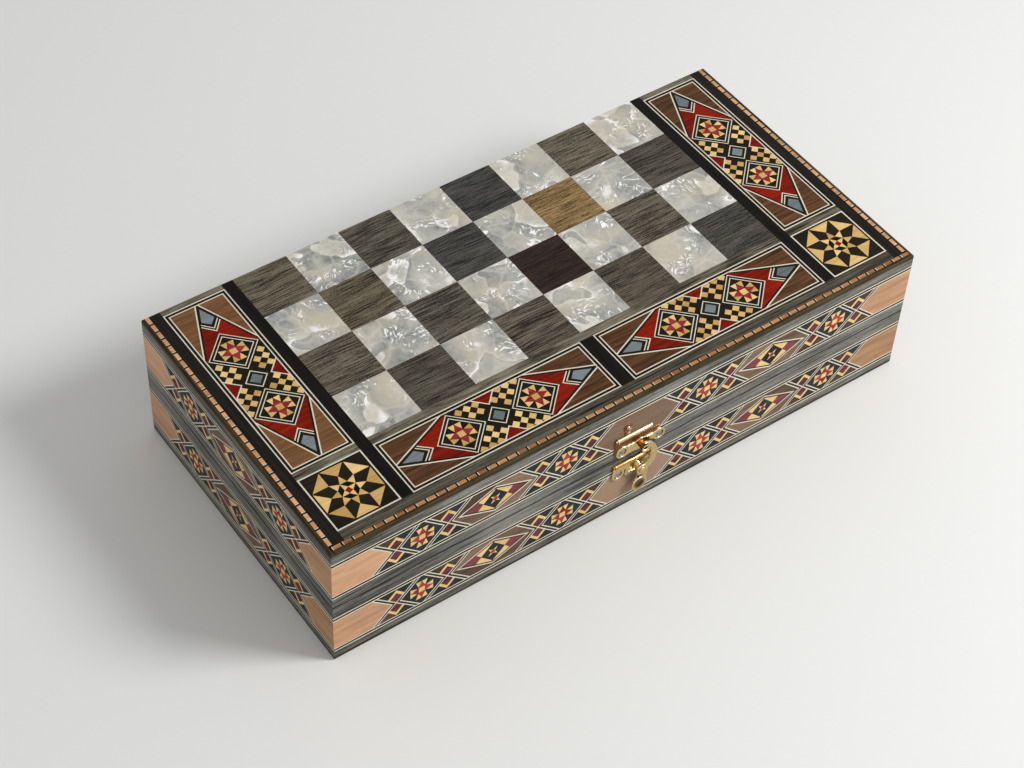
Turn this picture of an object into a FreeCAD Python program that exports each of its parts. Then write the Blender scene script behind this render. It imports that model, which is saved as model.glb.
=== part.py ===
import FreeCAD, Part
import math
import os
import re

# Chess and backgammon board: two shallow trays hinged along one long side, closed by a brass hook clasp.
# The outer faces carry the two halves of a chess board, the insides carry the backgammon points.
# X runs along the board, -Y is the clasp side, +Y the hinge side, Z is up. The origin is the centre of
# the underside. Each tray is laid out from its outer face: a depth counts from that face to the seam.

# Driving sizes in millimetres: alias, value, what it is
SIZES = [
    ("square", 35.4, "pitch of the chess squares"),
    ("edge_width", 1.9, "edge strip on the face, and thickness of the side cladding"),
    ("edge_drop", 2.6, "edge strip down the side"),
    ("arris_radius", 0.9, "rounding of the outer edge"),
    ("dash_width", 2.8, "dashed banding"),
    ("border_width", 6.7, "border strip inside the banding"),
    ("panel_width", 39.6, "marquetry panel with its frame"),
    ("star_length", 40.4, "corner star with its frame, front to back"),
    ("star_gap", 5.4, "strip between corner star and end panel"),
    ("front_strip", 5.6, "strip between the squares and the front panels"),
    ("flank_strip", 7.4, "strip left and right of the squares"),
    ("back_strip", 4.0, "strip between an end panel and the back edge"),
    ("centre_strip", 9.2, "strip between the two front panels"),
    ("stringing", 3.0, "white, black and white line together"),
    ("star_frame", 2.0, "line round a corner star"),
    ("face_veneer", 1.2, "thickness of squares, strips and panels on the face"),
    ("board_thick", 4.0, "plywood board of a tray"),
    ("wall_thick", 7.3, "wall of a tray without its cladding"),
    ("lining_thick", 0.8, "veneer inside the walls"),
    ("field_thick", 0.8, "veneer of the backgammon field"),
    ("rim_thick", 0.8, "veneer on the rim"),
    ("relief", 0.1, "how far the grounds lie under their inlay"),
    ("glue_line", 0.1, "joint between two squares"),
    ("seam_gap", 0.3, "air between the closed trays"),
    ("band_height", 23.6, "marquetry band on the sides"),
    ("rails_height", 13.8, "both plain strips of a tray's side together"),
    ("lid_seam_rail", 7.4, "plain strip of the lid at the seam"),
    ("base_seam_rail", 9.2, "plain strip of the base at the seam"),
    ("point_margin", 3.0, "field between an end wall and the points"),
    ("point_length", 140.0, "length of a backgammon point"),
    ("point_space", 1.6, "space between two points at their foot"),
    ("hinge_place", 115.0, "hinge centre from the middle of the board"),
    ("hinge_length", 33.0, "length of a butt hinge"),
    ("knuckle_radius", 2.6, "outside of a hinge knuckle"),
    ("knuckle_gap", 0.3, "end play between two knuckles"),
    ("notch_gap", 0.5, "air round a knuckle in the wood"),
    ("hinge_pin_radius", 1.1, "hinge pin"),
    ("pin_play", 0.05, "running clearance of a pin or rivet"),
    ("axis_offset", 0.4, "hinge axis behind the back faces"),
    ("leaf_width", 8.6, "hinge leaf from the axis inwards"),
    ("leaf_thick", 1.2, "hinge leaf"),
    ("screw_radius", 1.1, "shank of the wood screws"),
    ("screw_head_radius", 2.2, "countersunk head of a hinge screw"),
    ("screw_head_depth", 0.9, "depth of a countersunk head"),
    ("screw_length", 6.0, "whole length of a wood screw"),
    ("slot_width", 0.5, "slot in a screw head"),
    ("slot_depth", 0.4, "depth of that slot"),
    ("hinge_screw_spacing", 19.0, "between the two screws of a leaf"),
    ("clasp_place", 3.0, "peg and pivot right of the middle of the board"),
    ("plate_thick", 1.0, "sheet brass of the clasp"),
    ("clasp_screw_head", 2.6, "head of a clasp screw"),
    ("nail_radius", 0.7, "nail of a clasp plate"),
    ("nail_head", 1.3, "head of that nail"),
    ("ear_radius", 4.3, "round ear of either plate"),
    ("ear_spacing", 26.0, "between the two ears of the keeper plate"),
    ("ear_rise", 5.1, "ears and peg of the keeper plate above the seam"),
    ("keeper_rise", 9.6, "lower edge of the keeper plate right of its peg, above the seam"),
    ("web_rise", 1.6, "lower edge of the keeper plate left of its peg, above the seam"),
    ("keeper_top", 18.5, "top of the keeper plate above the seam"),
    ("keeper_right", 13.0, "right end of the keeper plate from its peg"),
    ("plate_left", 18.5, "left end of both plates from peg and pivot"),
    ("roll_length", 25.5, "raised roll of a plate"),
    ("roll_proud", 2.6, "how far the rolls stand out of the box"),
    ("roll_radius", 1.6, "radius of the rolls"),
    ("keeper_roll_rise", 17.1, "roll of the keeper plate above the seam"),
    ("hook_roll_drop", 5.4, "roll of the hook plate below the seam"),
    ("lobe_radius", 2.8, "lobe that carries a nail"),
    ("lobe_offset", 10.0, "keeper's nail left of the peg"),
    ("lobe_rise", 24.0, "keeper's nail above the seam"),
    ("hook_plate_drop", 9.4, "lower edge of the hook plate between its lobes, below the seam"),
    ("hook_ear_offset", 14.5, "ear of the hook plate left of the pivot"),
    ("hook_ear_drop", 13.4, "that ear below the seam"),
    ("hook_nail_offset", 6.8, "nail of the hook plate left of the pivot"),
    ("hook_nail_drop", 15.6, "that nail below the seam"),
    ("pivot_drop", 14.2, "pivot of the hook below the seam"),
    ("hook_lift", 3.4, "back of the hook in front of the box"),
    ("hook_thick", 1.6, "thickness of the hook"),
    ("hook_play", 0.1, "air between the hook and what holds it"),
    ("hook_radius", 11.0, "outside of the hook's bow"),
    ("hook_bore", 7.6, "inside of the hook's bow"),
    ("hook_side", 4.8, "width of the bow at its side"),
    ("hook_tip", 1.1, "width of the bow over the peg"),
    ("hook_shift", 0.2, "bow right of the pivot"),
    ("tip_reach", 2.4, "how far the tip reaches past the peg"),
    ("hook_catch", 0.25, "air between the bow and the peg"),
    ("boss_radius", 3.8, "round the pivot of the hook"),
    ("neck_width", 3.0, "neck of the finger pull"),
    ("pull_drop", 11.6, "finger pull below the pivot"),
    ("pull_offset", 1.0, "finger pull left of the pivot"),
    ("pull_radius", 5.4, "finger pull"),
    ("peg_radius", 2.1, "tubular peg of the keeper"),
    ("peg_head_radius", 2.9, "flared end of the peg"),
    ("peg_head_thick", 1.0, "flared end of the peg, front to back"),
    ("peg_bore", 1.3, "hollow of the peg"),
    ("peg_bore_depth", 5.0, "depth of that hollow"),
    ("rivet_radius", 1.5, "rivet that the hook turns on"),
    ("rivet_shoulder", 2.6, "shoulder of the rivet behind the hook"),
    ("rivet_head_radius", 2.8, "head of the rivet"),
    ("rivet_head_thick", 0.9, "head of the rivet, front to back"),
    ("rivet_head_face", 1.7, "flat of the rivet's head"),
    ("overrun", 2.0, "how far a cutter passes a face"),
]
# Sizes worked out from others
DERIVED = {
    "tray_height": "(edge_drop + rails_height + 2 * stringing + band_height)",
    "half_length": "(half_grid + flank_strip + panel_width + border)",
    "box_length": "(2 * half_length)",
    "box_width": "(front_margin + RANKS * square)",
    "half_width": "(box_width / 2)",
    "border": "(edge_width + dash_width + border_width)",
    "front_margin": "(border + panel_width + front_strip)",
    "half_grid": "(FILES * square / 2)",
    "panel_length": "(half_grid - centre_strip / 2)",
    "end_panel_start": "(border + star_length + star_gap)",
    "end_panel_length": "(box_width - end_panel_start - back_strip)",
    "board_top": "(face_veneer + board_thick)",
    "wall_top": "(tray_height - rim_thick - seam_gap / 2)",
    "wall_in": "(edge_width + wall_thick)",
    "lining_in": "(wall_in + lining_thick)",
    "inner_length": "(box_length - 2 * lining_in)",
    "inner_width": "(box_width - 2 * lining_in)",
    "point_pitch": "(inner_width / POINTS_A_SIDE)",
    "point_width": "(point_pitch - point_space)",
    "axis_y": "(half_width + axis_offset)",
    "knuckle_length": "((hinge_length - 2 * knuckle_gap) / 3)",
    "notch_radius": "(knuckle_radius + notch_gap)",
    "peg_reach": "(hook_lift + hook_thick + hook_play + peg_head_thick)",
    "swing_clear": "(ear_rise + pivot_drop + peg_radius + hook_catch)",
}
COUNTS = {"FILES": 8, "RANKS": 4, "POINTS_A_SIDE": 6}
TRAYS = ("base", "lid")
SIDES = {"front": (0, -1), "right": (1, 0), "rear": (0, 1), "left": (-1, 0)}
FACE_SIDES = ("front", "left", "right")
# Which way a round shape runs, into the box or out of it at the front
WAYS = {"up": (0, 0, 1), "down": (0, 0, -1), "right": (1, 0, 0), "in": (0, 1, 0), "out": (0, -1, 0)}

doc = FreeCAD.newDocument("game_board")
sheet = doc.addObject("Spreadsheet::Sheet", "dims")
for row, (alias, value, note) in enumerate(SIZES, start=1):
    sheet.set(f"A{row}", note)
    sheet.set(f"B{row}", str(value))
    sheet.setAlias(f"B{row}", alias)
doc.recompute()

ALIASES = {alias for alias, _, _ in SIZES}
nodes = []


def cells(text):
    """Turns a sum written with size names into an expression on the sheet."""
    text = str(text)
    while any(word in DERIVED for word in re.findall(r"\w+", text)):
        text = re.sub(r"\w+", lambda m: DERIVED.get(m[0], m[0]), text)
    text = re.sub(r"\w+", lambda m: str(COUNTS.get(m[0], m[0])), text)
    return re.sub(r"\w+", lambda m: f"dims.{m[0]}" if m[0] in ALIASES else m[0], text)


def bind(thing, **sums):
    """Binds properties of an object to sums of sizes."""
    for name, text in sums.items():
        thing.setExpression(name, cells(text))
    return thing


def facing(before_turn, after_turn):
    """The turn about Z that brings one flat direction to another."""
    angle = math.atan2(after_turn[1], after_turn[0]) - math.atan2(before_turn[1], before_turn[0])
    return FreeCAD.Rotation(FreeCAD.Vector(0, 0, 1), math.degrees(angle))


def running(way):
    """The turn of a round shape that is drawn along +Z."""
    return FreeCAD.Rotation(FreeCAD.Vector(0, 0, 1), FreeCAD.Vector(*WAYS[way]))


def place(thing, x, y, z, turn=FreeCAD.Rotation()):
    """Turns an object and binds its place."""
    thing.Placement = FreeCAD.Placement(FreeCAD.Vector(), turn)
    for letter, text in zip("xyz", (x, y, z)):
        thing.setExpression(f"Placement.Base.{letter}", cells(text))
    return thing


def box(name, x, y, z, length, width, height):
    """A box from its low corner and its three sizes."""
    made = bind(doc.addObject("Part::Box", name), Length=length, Width=width, Height=height)
    return place(made, x, y, z)


def cylinder(name, x, y, z, radius, length, way):
    """A cylinder from the centre of its first end, running one way."""
    made = bind(doc.addObject("Part::Cylinder", name), Radius=radius, Height=length)
    return place(made, x, y, z, running(way))


def cone(name, x, y, z, first, last, length, way):
    """A cone from the centre of its first end, running one way."""
    made = bind(doc.addObject("Part::Cone", name), Radius1=first, Radius2=last, Height=length)
    return place(made, x, y, z, running(way))


def group(name, things):
    """Several separate solids as one object."""
    made = doc.addObject("Part::Compound", name)
    made.Links = things
    return made


def cut(name, thing, tools):
    """Cuts one or more tools from a thing."""
    made = doc.addObject("Part::Cut", name)
    made.Base = thing
    made.Tool = tools[0] if len(tools) == 1 else group(name + "_tools", tools)
    return made


def fuse(name, things):
    """Joins touching things to one solid."""
    made = doc.addObject("Part::MultiFuse", name)
    made.Shapes = things
    made.Refine = True
    return made


def node(label, thing):
    """Keeps a finished object as a sub-part under its label."""
    thing.Label = label
    nodes.append(thing)


def low_end(tray, depth, height):
    """The low end of a layer of a tray, from its depth under the outer face."""
    return depth if tray == "base" else f"2 * tray_height - ({depth}) - ({height})"


def seam_z(tray, clearance):
    """A height near the seam: below it in the base, above it in the lid."""
    return f"tray_height - ({clearance})" if tray == "base" else f"tray_height + ({clearance})"


def side_strip(name, tray, side, inset, width, depth, height, to_back=False):
    """A strip along one side with mitred ends. With to_back, it runs square to the back edge."""
    square_end = to_back and side in ("left", "right")
    along = "box_length" if side in ("front", "rear") else "box_width"
    length = f"({along} - {1 if square_end else 2} * ({inset}))"
    first = "0" if square_end and side == "left" else width
    last = length if square_end and side == "right" else f"{length} - ({width})"
    made = doc.addObject("Part::Wedge", name)
    bind(made, Xmin=0, Xmax=length, X2min=first, X2max=last, Ymin=0, Ymax=width)
    bind(made, Zmin=0, Zmax=height, Z2min=0, Z2max=height)
    in_x, in_y = f"half_length - ({inset})", f"half_width - ({inset})"
    corners = {
        "front": (f"-({in_x})", f"-({in_y})"),
        "right": (in_x, f"-({in_y})"),
        "rear": (in_x, in_y),
        "left": (f"-({in_x})", "half_width" if square_end else in_y),
    }
    return place(made, *corners[side], low_end(tray, depth, height), facing(SIDES["front"], SIDES[side]))


def rounded(name, strip, tray, side):
    """Rounds the outer edge of an edge strip."""
    doc.recompute()
    out_x, out_y = SIDES[side]
    way = FreeCAD.Vector(out_x, out_y, -1 if tray == "base" else 1)
    edges = strip.Shape.Edges
    outer = max(range(len(edges)), key=lambda at: edges[at].CenterOfMass.dot(way))
    made = doc.addObject("Part::Fillet", name)
    made.Base = strip
    radius = sheet.get("arris_radius")
    made.Edges = [(outer + 1, float(radius), float(radius))]
    return made


def frame_ring(name, tray, x, y, length, width, line):
    """A ground under stringing: a rectangle with a rectangular opening, from its low corner."""
    height = "face_veneer - relief"
    z = low_end(tray, "relief", height)
    outer = box(name + "_out", x, y, z, length, width, height)
    hole_z = low_end(tray, "relief - overrun", f"{height} + 2 * overrun")
    inner = [f"{x} + {line}", f"{y} + {line}", hole_z, f"{length} - 2 * {line}", f"{width} - 2 * {line}"]
    return cut(name, outer, [box(name + "_in", *inner, f"{height} + 2 * overrun")])


def ground(name, tray, x, y, length, width, line):
    """The ground of a panel or star inside its stringing, from the frame's low corner."""
    height = "face_veneer - relief"
    low = [f"{x} + {line}", f"{y} + {line}", low_end(tray, "relief", height)]
    return box(name, *low, f"{length} - 2 * {line}", f"{width} - 2 * {line}", height)


def veneer_box(name, tray, x, y, length, width):
    """A flush piece of the face, from its low corner."""
    return box(name, x, y, low_end(tray, "0", "face_veneer"), length, width, "face_veneer")


def screw_blank(name, x, y, z, way, head="screw_head_radius", shank="screw_radius"):
    """A screw or nail without its slot. The place is the middle of its head's face."""
    sunk = cone(name + "_head", x, y, z, head, shank, "screw_head_depth", way)
    stem = cylinder(name + "_shank", x, y, z, shank, "screw_length", way)
    return fuse(name + "_blank", [sunk, stem])


def slotted(name, blank, x, y, z, way, head="screw_head_radius"):
    """The screw that its blank gives, with a slot across its head."""
    across, deep = f"2 * {head}", "overrun + slot_depth"
    if way == "in":
        low = [f"{x} - {head}", f"{y} - overrun", f"{z} - slot_width / 2"]
        return cut(name, blank, [box(name + "_slot", *low, across, deep, "slot_width")])
    start = f"{z} - overrun" if way == "up" else f"{z} - slot_depth"
    low = [f"{x} - {head}", f"{y} - slot_width / 2", start]
    return cut(name, blank, [box(name + "_slot", *low, across, "slot_width", deep)])


# Places of the clasp: what stands d in front of the box has its y at -(half_width + d)
BOX_FRONT = "-half_width"


def before(reach):
    """The y of what stands some way in front of the box."""
    return f"-(half_width + {reach})"


def hinge_places():
    """The middle of each butt hinge along the board."""
    return (("left", "-hinge_place"), ("right", "hinge_place"))


# Screws first, because the wood and the brass are bored with their blanks
blanks = {"base": [], "lid": []}
hinge_screws = {"base": [], "lid": []}
for tray in TRAYS:
    way = "down" if tray == "base" else "up"
    face = seam_z(tray, "seam_gap / 2")
    middle = "axis_y - (leaf_width + notch_radius) / 2"
    for side, centre in hinge_places():
        for turn, sign in (("outer", "+"), ("inner", "-")):
            name = f"{tray}_{side}_{turn}_screw"
            spot = (f"{centre} {sign} hinge_screw_spacing / 2", middle, face)
            blank = screw_blank(name, *spot, way)
            blanks[tray].append(blank)
            hinge_screws[tray].append(slotted(name, blank, *spot, way))
    node(f"hinge_screws_{tray}", group(f"hinge_screws_{tray}", hinge_screws[tray]))

# Screws and nails of the clasp: name, how far from peg and pivot, how far from the seam
SCREW_SIZES = ("clasp_screw_head", "screw_radius")
NAIL_SIZES = ("nail_head", "nail_radius")
CLASP_FASTENERS = {
    "lid": [
        ("keeper_left", "-ear_spacing / 2", "ear_rise", SCREW_SIZES),
        ("keeper_right", "ear_spacing / 2", "ear_rise", SCREW_SIZES),
        ("keeper_nail", "-lobe_offset", "lobe_rise", NAIL_SIZES),
    ],
    "base": [
        ("hook_plate_ear", "-hook_ear_offset", "-hook_ear_drop", SCREW_SIZES),
        ("hook_plate_nail", "-hook_nail_offset", "-hook_nail_drop", NAIL_SIZES),
    ],
}
clasp_blanks = {"base": [], "lid": []}
for tray, label in (("lid", "clasp_keeper_screws"), ("base", "clasp_hook_plate_screws")):
    finished = []
    for name, aside, above, sizes in CLASP_FASTENERS[tray]:
        spot = (f"clasp_place + ({aside})", before("plate_thick"), f"tray_height + ({above})")
        blank = screw_blank(name, *spot, "in", *sizes)
        clasp_blanks[tray].append(blank)
        nail = sizes == NAIL_SIZES
        finished.append(blank if nail else slotted(name, blank, *spot, "in", sizes[0]))
    node(label, group(label, finished))


# Butt hinges
def hinge_cutters(tray):
    """What the wood of a tray loses to its two hinges."""
    cutters = []
    for side, centre in hinge_places():
        name = f"{tray}_{side}"
        start = f"{centre} - hinge_length / 2 - notch_gap"
        cutters.append(cylinder(name + "_notch", start, "axis_y", "tray_height", "notch_radius",
                                "hinge_length + 2 * notch_gap", "right"))
        height = "leaf_thick + seam_gap / 2 + overrun"
        low = "tray_height - seam_gap / 2 - leaf_thick" if tray == "base" else "tray_height - overrun"
        cutters.append(box(name + "_mortise", f"{centre} - hinge_length / 2", "axis_y - leaf_width", low,
                           "hinge_length", "leaf_width + overrun", height))
    return cutters


hinge_cuts = {tray: hinge_cutters(tray) for tray in TRAYS}
bores = {}
for side, centre in hinge_places():
    start = f"{centre} - hinge_length / 2"
    pin = cylinder(f"{side}_pin", start, "axis_y", "tray_height", "hinge_pin_radius", "hinge_length", "right")
    bores[side] = (pin, cylinder(f"{side}_bore", f"{start} - overrun", "axis_y", "tray_height",
                                 "hinge_pin_radius + pin_play", "hinge_length + 2 * overrun", "right"))
node("hinge_pins", group("hinge_pins", [bores[side][0] for side, _ in hinge_places()]))

for tray in TRAYS:
    leaves = []
    for side, centre in hinge_places():
        name = f"{tray}_{side}_leaf"
        low = "tray_height - seam_gap / 2 - leaf_thick" if tray == "base" else "tray_height + seam_gap / 2"
        start = f"{centre} - hinge_length / 2"
        plate = box(name + "_plate", start, "axis_y - leaf_width", low, "hinge_length",
                    "leaf_width - notch_radius", "leaf_thick")
        parts = [plate]
        knuckles = (0, 2) if tray == "base" else (1,)
        for at in knuckles:
            first = f"{start} + {at} * (knuckle_length + knuckle_gap)"
            parts.append(box(f"{name}_tab_{at}", first, "axis_y - notch_radius", low, "knuckle_length",
                             "notch_radius", "leaf_thick"))
            parts.append(cylinder(f"{name}_knuckle_{at}", first, "axis_y", "tray_height", "knuckle_radius",
                                  "knuckle_length", "right"))
        leaves.append(cut(name, fuse(name + "_blank", parts), [bores[side][1]] + blanks[tray]))
    node(f"hinge_leaves_{tray}", group(f"hinge_leaves_{tray}", leaves))


# The two trays
def carcass(tray):
    """Board, four mitred walls, rim strips and lining."""
    inside = f"box_length - 2 * edge_width", f"box_width - 2 * edge_width"
    node(f"{tray}_board", box(f"{tray}_board", "edge_width - half_length", "edge_width - half_width",
                              low_end(tray, "face_veneer", "board_thick"), *inside, "board_thick"))
    rims, linings = [], []
    for side in SIDES:
        name = f"{tray}_{side}"
        wall = side_strip(f"{name}_wall_blank", tray, side, "edge_width", "wall_thick", "board_top",
                          "wall_top - board_top")
        rim = side_strip(f"{name}_rim", tray, side, "edge_width", "wall_thick + lining_thick", "wall_top",
                         "rim_thick")
        if side == "rear":
            wall = cut(f"{name}_wall", wall, hinge_cuts[tray] + blanks[tray])
            rim = cut(f"{name}_rim_cut", rim, hinge_cuts[tray])
        if side == "front":
            wall = cut(f"{name}_wall", wall, clasp_blanks[tray])
        node(f"{tray}_{side}_wall", wall)
        rims.append(rim)
        linings.append(side_strip(f"{name}_lining", tray, side, "wall_in", "lining_thick", "board_top",
                                  "wall_top - board_top"))
    node(f"{tray}_rim_strips", group(f"{tray}_rim_strips", rims))
    node(f"{tray}_lining", group(f"{tray}_lining", linings))


def backgammon_field(tray):
    """The field's veneer with its light and dark points let in from both short ends."""
    z = low_end(tray, "board_top", "field_thick")
    tall = "field_thick"
    sheet_of_veneer = box(f"{tray}_field_blank", "lining_in - half_length", "lining_in - half_width", z,
                          "inner_length", "inner_width", tall)
    points = {"light": [], "dark": []}
    reach = "half_length - lining_in - point_margin"
    for end in ("left", "right"):
        turn = facing(SIDES["rear"], SIDES["right" if end == "left" else "left"])
        for at in range(COUNTS["POINTS_A_SIDE"]):
            made = doc.addObject("Part::Wedge", f"{tray}_{end}_point_{at}")
            bind(made, Xmin=0, Xmax="point_width", X2min="point_width / 2", X2max="point_width / 2")
            bind(made, Ymin=0, Ymax="point_length", Zmin=0, Zmax=tall, Z2min=0, Z2max=tall)
            low = f"lining_in - half_width + {at} * point_pitch + point_space / 2"
            if end == "left":
                place(made, f"-({reach})", f"{low} + point_width", z, turn)
            else:
                place(made, reach, low, z, turn)
            light = (at + (end == "left") + (tray == "lid")) % 2 == 0
            points["light" if light else "dark"].append(made)
    field = cut(f"{tray}_field_veneer", sheet_of_veneer, points["light"] + points["dark"])
    node(f"{tray}_field_veneer", field)
    for tone, wedges in points.items():
        node(f"{tray}_points_{tone}", group(f"{tray}_points_{tone}", wedges))


def chess_squares(tray):
    """Half of the chess board: pearl and dark wood squares, running out to the back edge."""
    squares = {"pearl": [], "wood": []}
    side = "square - glue_line"
    for i in range(COUNTS["FILES"]):
        for j in range(COUNTS["RANKS"]):
            x = f"{i} * square - half_grid + glue_line / 2"
            y = f"front_margin - half_width + {j} * square + glue_line / 2"
            kind = "pearl" if (i + j) % 2 == (0 if tray == "lid" else 1) else "wood"
            squares[kind].append(veneer_box(f"{tray}_square_{i}_{j}", tray, x, y, side, side))
    for kind, tiles in squares.items():
        node(f"{tray}_{kind}_squares", group(f"{tray}_{kind}_squares", tiles))


def face_strips(tray):
    """The strips that run round the face and those between its fields."""
    edges, dashes, borders = [], [], []
    for side in FACE_SIDES:
        name = f"{tray}_{side}"
        strip = side_strip(f"{name}_edge", tray, side, "0", "edge_width", "0", "edge_drop", True)
        edges.append(rounded(f"{name}_edge_round", strip, tray, side))
        dashes.append(side_strip(f"{name}_dashes", tray, side, "edge_width", "dash_width", "relief",
                                 "face_veneer - relief", True))
        borders.append(side_strip(f"{name}_border", tray, side, "edge_width + dash_width", "border_width", "0",
                                  "face_veneer", True))
    node(f"{tray}_edge_strips", group(f"{tray}_edge_strips", edges))
    node(f"{tray}_dash_banding", group(f"{tray}_dash_banding", dashes))
    node(f"{tray}_border_strips", group(f"{tray}_border_strips", borders))

    front = "border - half_width"
    deep = "box_width - border"
    black = [veneer_box(f"{tray}_black_{name}", tray, x, front, *size) for name, x, *size in (
        ("left", "-(half_grid + flank_strip)", "flank_strip", deep),
        ("right", "half_grid", "flank_strip", deep),
        ("centre", "-centre_strip / 2", "centre_strip", "panel_width"),
    )]
    node(f"{tray}_black_strips", group(f"{tray}_black_strips", black))

    grey = [veneer_box(f"{tray}_grey_front", tray, "-half_grid", "border + panel_width - half_width",
                       "2 * half_grid", "front_strip")]
    for side, x in (("left", "border - half_length"), ("right", "half_length - border - panel_width")):
        grey.append(veneer_box(f"{tray}_grey_star_{side}", tray, x, "border + star_length - half_width",
                               "panel_width", "star_gap"))
        grey.append(veneer_box(f"{tray}_grey_back_{side}", tray, x, "half_width - back_strip", "panel_width",
                               "back_strip"))
    node(f"{tray}_grey_strips", group(f"{tray}_grey_strips", grey))


def inlaid_fields(tray):
    """The grounds of the marquetry panels and corner stars, and the grounds of their stringing."""
    front = "border - half_width"
    left, right = "border - half_length", "half_length - border - panel_width"
    end_y = "end_panel_start - half_width"
    panels = [
        ("front_left", "-half_grid", front, "panel_length", "panel_width"),
        ("front_right", "centre_strip / 2", front, "panel_length", "panel_width"),
        ("end_left", left, end_y, "panel_width", "end_panel_length"),
        ("end_right", right, end_y, "panel_width", "end_panel_length"),
    ]
    stars = [
        ("star_left", left, front, "panel_width", "star_length"),
        ("star_right", right, front, "panel_width", "star_length"),
    ]
    grounds = [ground(f"{tray}_{name}", tray, *place_of, "stringing") for name, *place_of in panels]
    tiles = [ground(f"{tray}_{name}", tray, *place_of, "star_frame") for name, *place_of in stars]
    rings = [frame_ring(f"{tray}_{name}_frame", tray, *place_of, "stringing") for name, *place_of in panels]
    rings += [frame_ring(f"{tray}_{name}_frame", tray, *place_of, "star_frame") for name, *place_of in stars]
    node(f"{tray}_marquetry_panels", group(f"{tray}_marquetry_panels", grounds))
    node(f"{tray}_star_tiles", group(f"{tray}_star_tiles", tiles))
    node(f"{tray}_stringing_frames", group(f"{tray}_stringing_frames", rings))


def side_cladding(tray):
    """Rails, lines and marquetry bands on the four sides. Lines and bands lie back by the relief."""
    seam_rail = f"{tray}_seam_rail"
    inner_line = f"tray_height - {seam_rail} - stringing"
    band = f"({inner_line}) - band_height"
    outer_line = f"({band}) - stringing"
    rails, lines, bands = [], [], []
    for side in SIDES:
        name = f"{tray}_{side}"
        outer = side_strip(f"{name}_outer_rail", tray, side, "0", "edge_width", "edge_drop",
                           f"({outer_line}) - edge_drop")
        seam = side_strip(f"{name}_seam_rail", tray, side, "0", "edge_width", f"tray_height - {seam_rail}",
                          f"{seam_rail} - seam_gap / 2")
        inlay = "relief", "edge_width - relief"
        low = side_strip(f"{name}_outer_line", tray, side, *inlay, outer_line, "stringing")
        high = side_strip(f"{name}_inner_line", tray, side, *inlay, inner_line, "stringing")
        middle = side_strip(f"{name}_band", tray, side, *inlay, band, "band_height")
        if side == "rear":
            drop = "edge_drop - face_veneer"
            under = box(f"{name}_under_face", "edge_width - half_length", "half_width - edge_width",
                        low_end(tray, "face_veneer", drop), "box_length - 2 * edge_width", "edge_width", drop)
            outer = fuse(f"{name}_tall_rail", [outer, under])
            seam = cut(f"{name}_seam_rail_cut", seam, hinge_cuts[tray])
        if side == "front":
            seam = cut(f"{name}_seam_rail_cut", seam, clasp_blanks[tray])
            high = cut(f"{name}_inner_line_cut", high, clasp_blanks[tray])
            middle = cut(f"{name}_band_cut", middle, clasp_blanks[tray])
        rails += [outer, seam]
        lines += [low, high]
        bands.append(middle)
    node(f"{tray}_side_rails", group(f"{tray}_side_rails", rails))
    node(f"{tray}_side_lines", group(f"{tray}_side_lines", lines))
    node(f"{tray}_side_bands", group(f"{tray}_side_bands", bands))


for tray in TRAYS:
    carcass(tray)
    backgammon_field(tray)
    chess_squares(tray)
    face_strips(tray)
    inlaid_fields(tray)
    side_cladding(tray)


# Clasp
def disc(name, x, z, radius, start, length):
    """A round piece that stands in front of the box, from where it starts to its front."""
    return cylinder(name, x, before(start), z, radius, length, "out")


def slab(name, x, z, length, height, start, thick):
    """A flat piece in front of the box, from its low corner."""
    return box(name, x, before(f"{start} + {thick}"), z, length, thick, height)


def roll(name, x, z):
    """The raised roll of a clasp plate, with what lies inside the box cut off."""
    bar = cylinder(name + "_bar", x, before("roll_proud - roll_radius"), z, "roll_radius", "roll_length", "right")
    inside = box(name + "_inside", f"{x} - overrun", BOX_FRONT, f"{z} - roll_radius - overrun",
                 "roll_length + 2 * overrun", "roll_radius + overrun", "2 * (roll_radius + overrun)")
    return cut(name, bar, [inside])


PEG_X = "clasp_place"
EAR_Z = "(tray_height + ear_rise)"
PIVOT_Z = "(tray_height - pivot_drop)"
PLATE_LEFT = "(clasp_place - plate_left)"

# Peg of the keeper: a tube with a flared end
peg_solid = fuse("peg_solid", [
    disc("peg_shaft", PEG_X, EAR_Z, "peg_radius", "0", "peg_reach"),
    disc("peg_flare", PEG_X, EAR_Z, "peg_head_radius", "peg_reach - peg_head_thick", "peg_head_thick"),
])
peg_hollow = disc("peg_hollow", PEG_X, EAR_Z, "peg_bore", "peg_reach - peg_bore_depth",
                  "peg_bore_depth + overrun")
node("clasp_keeper_peg", cut("peg", peg_solid, [peg_hollow]))

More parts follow.
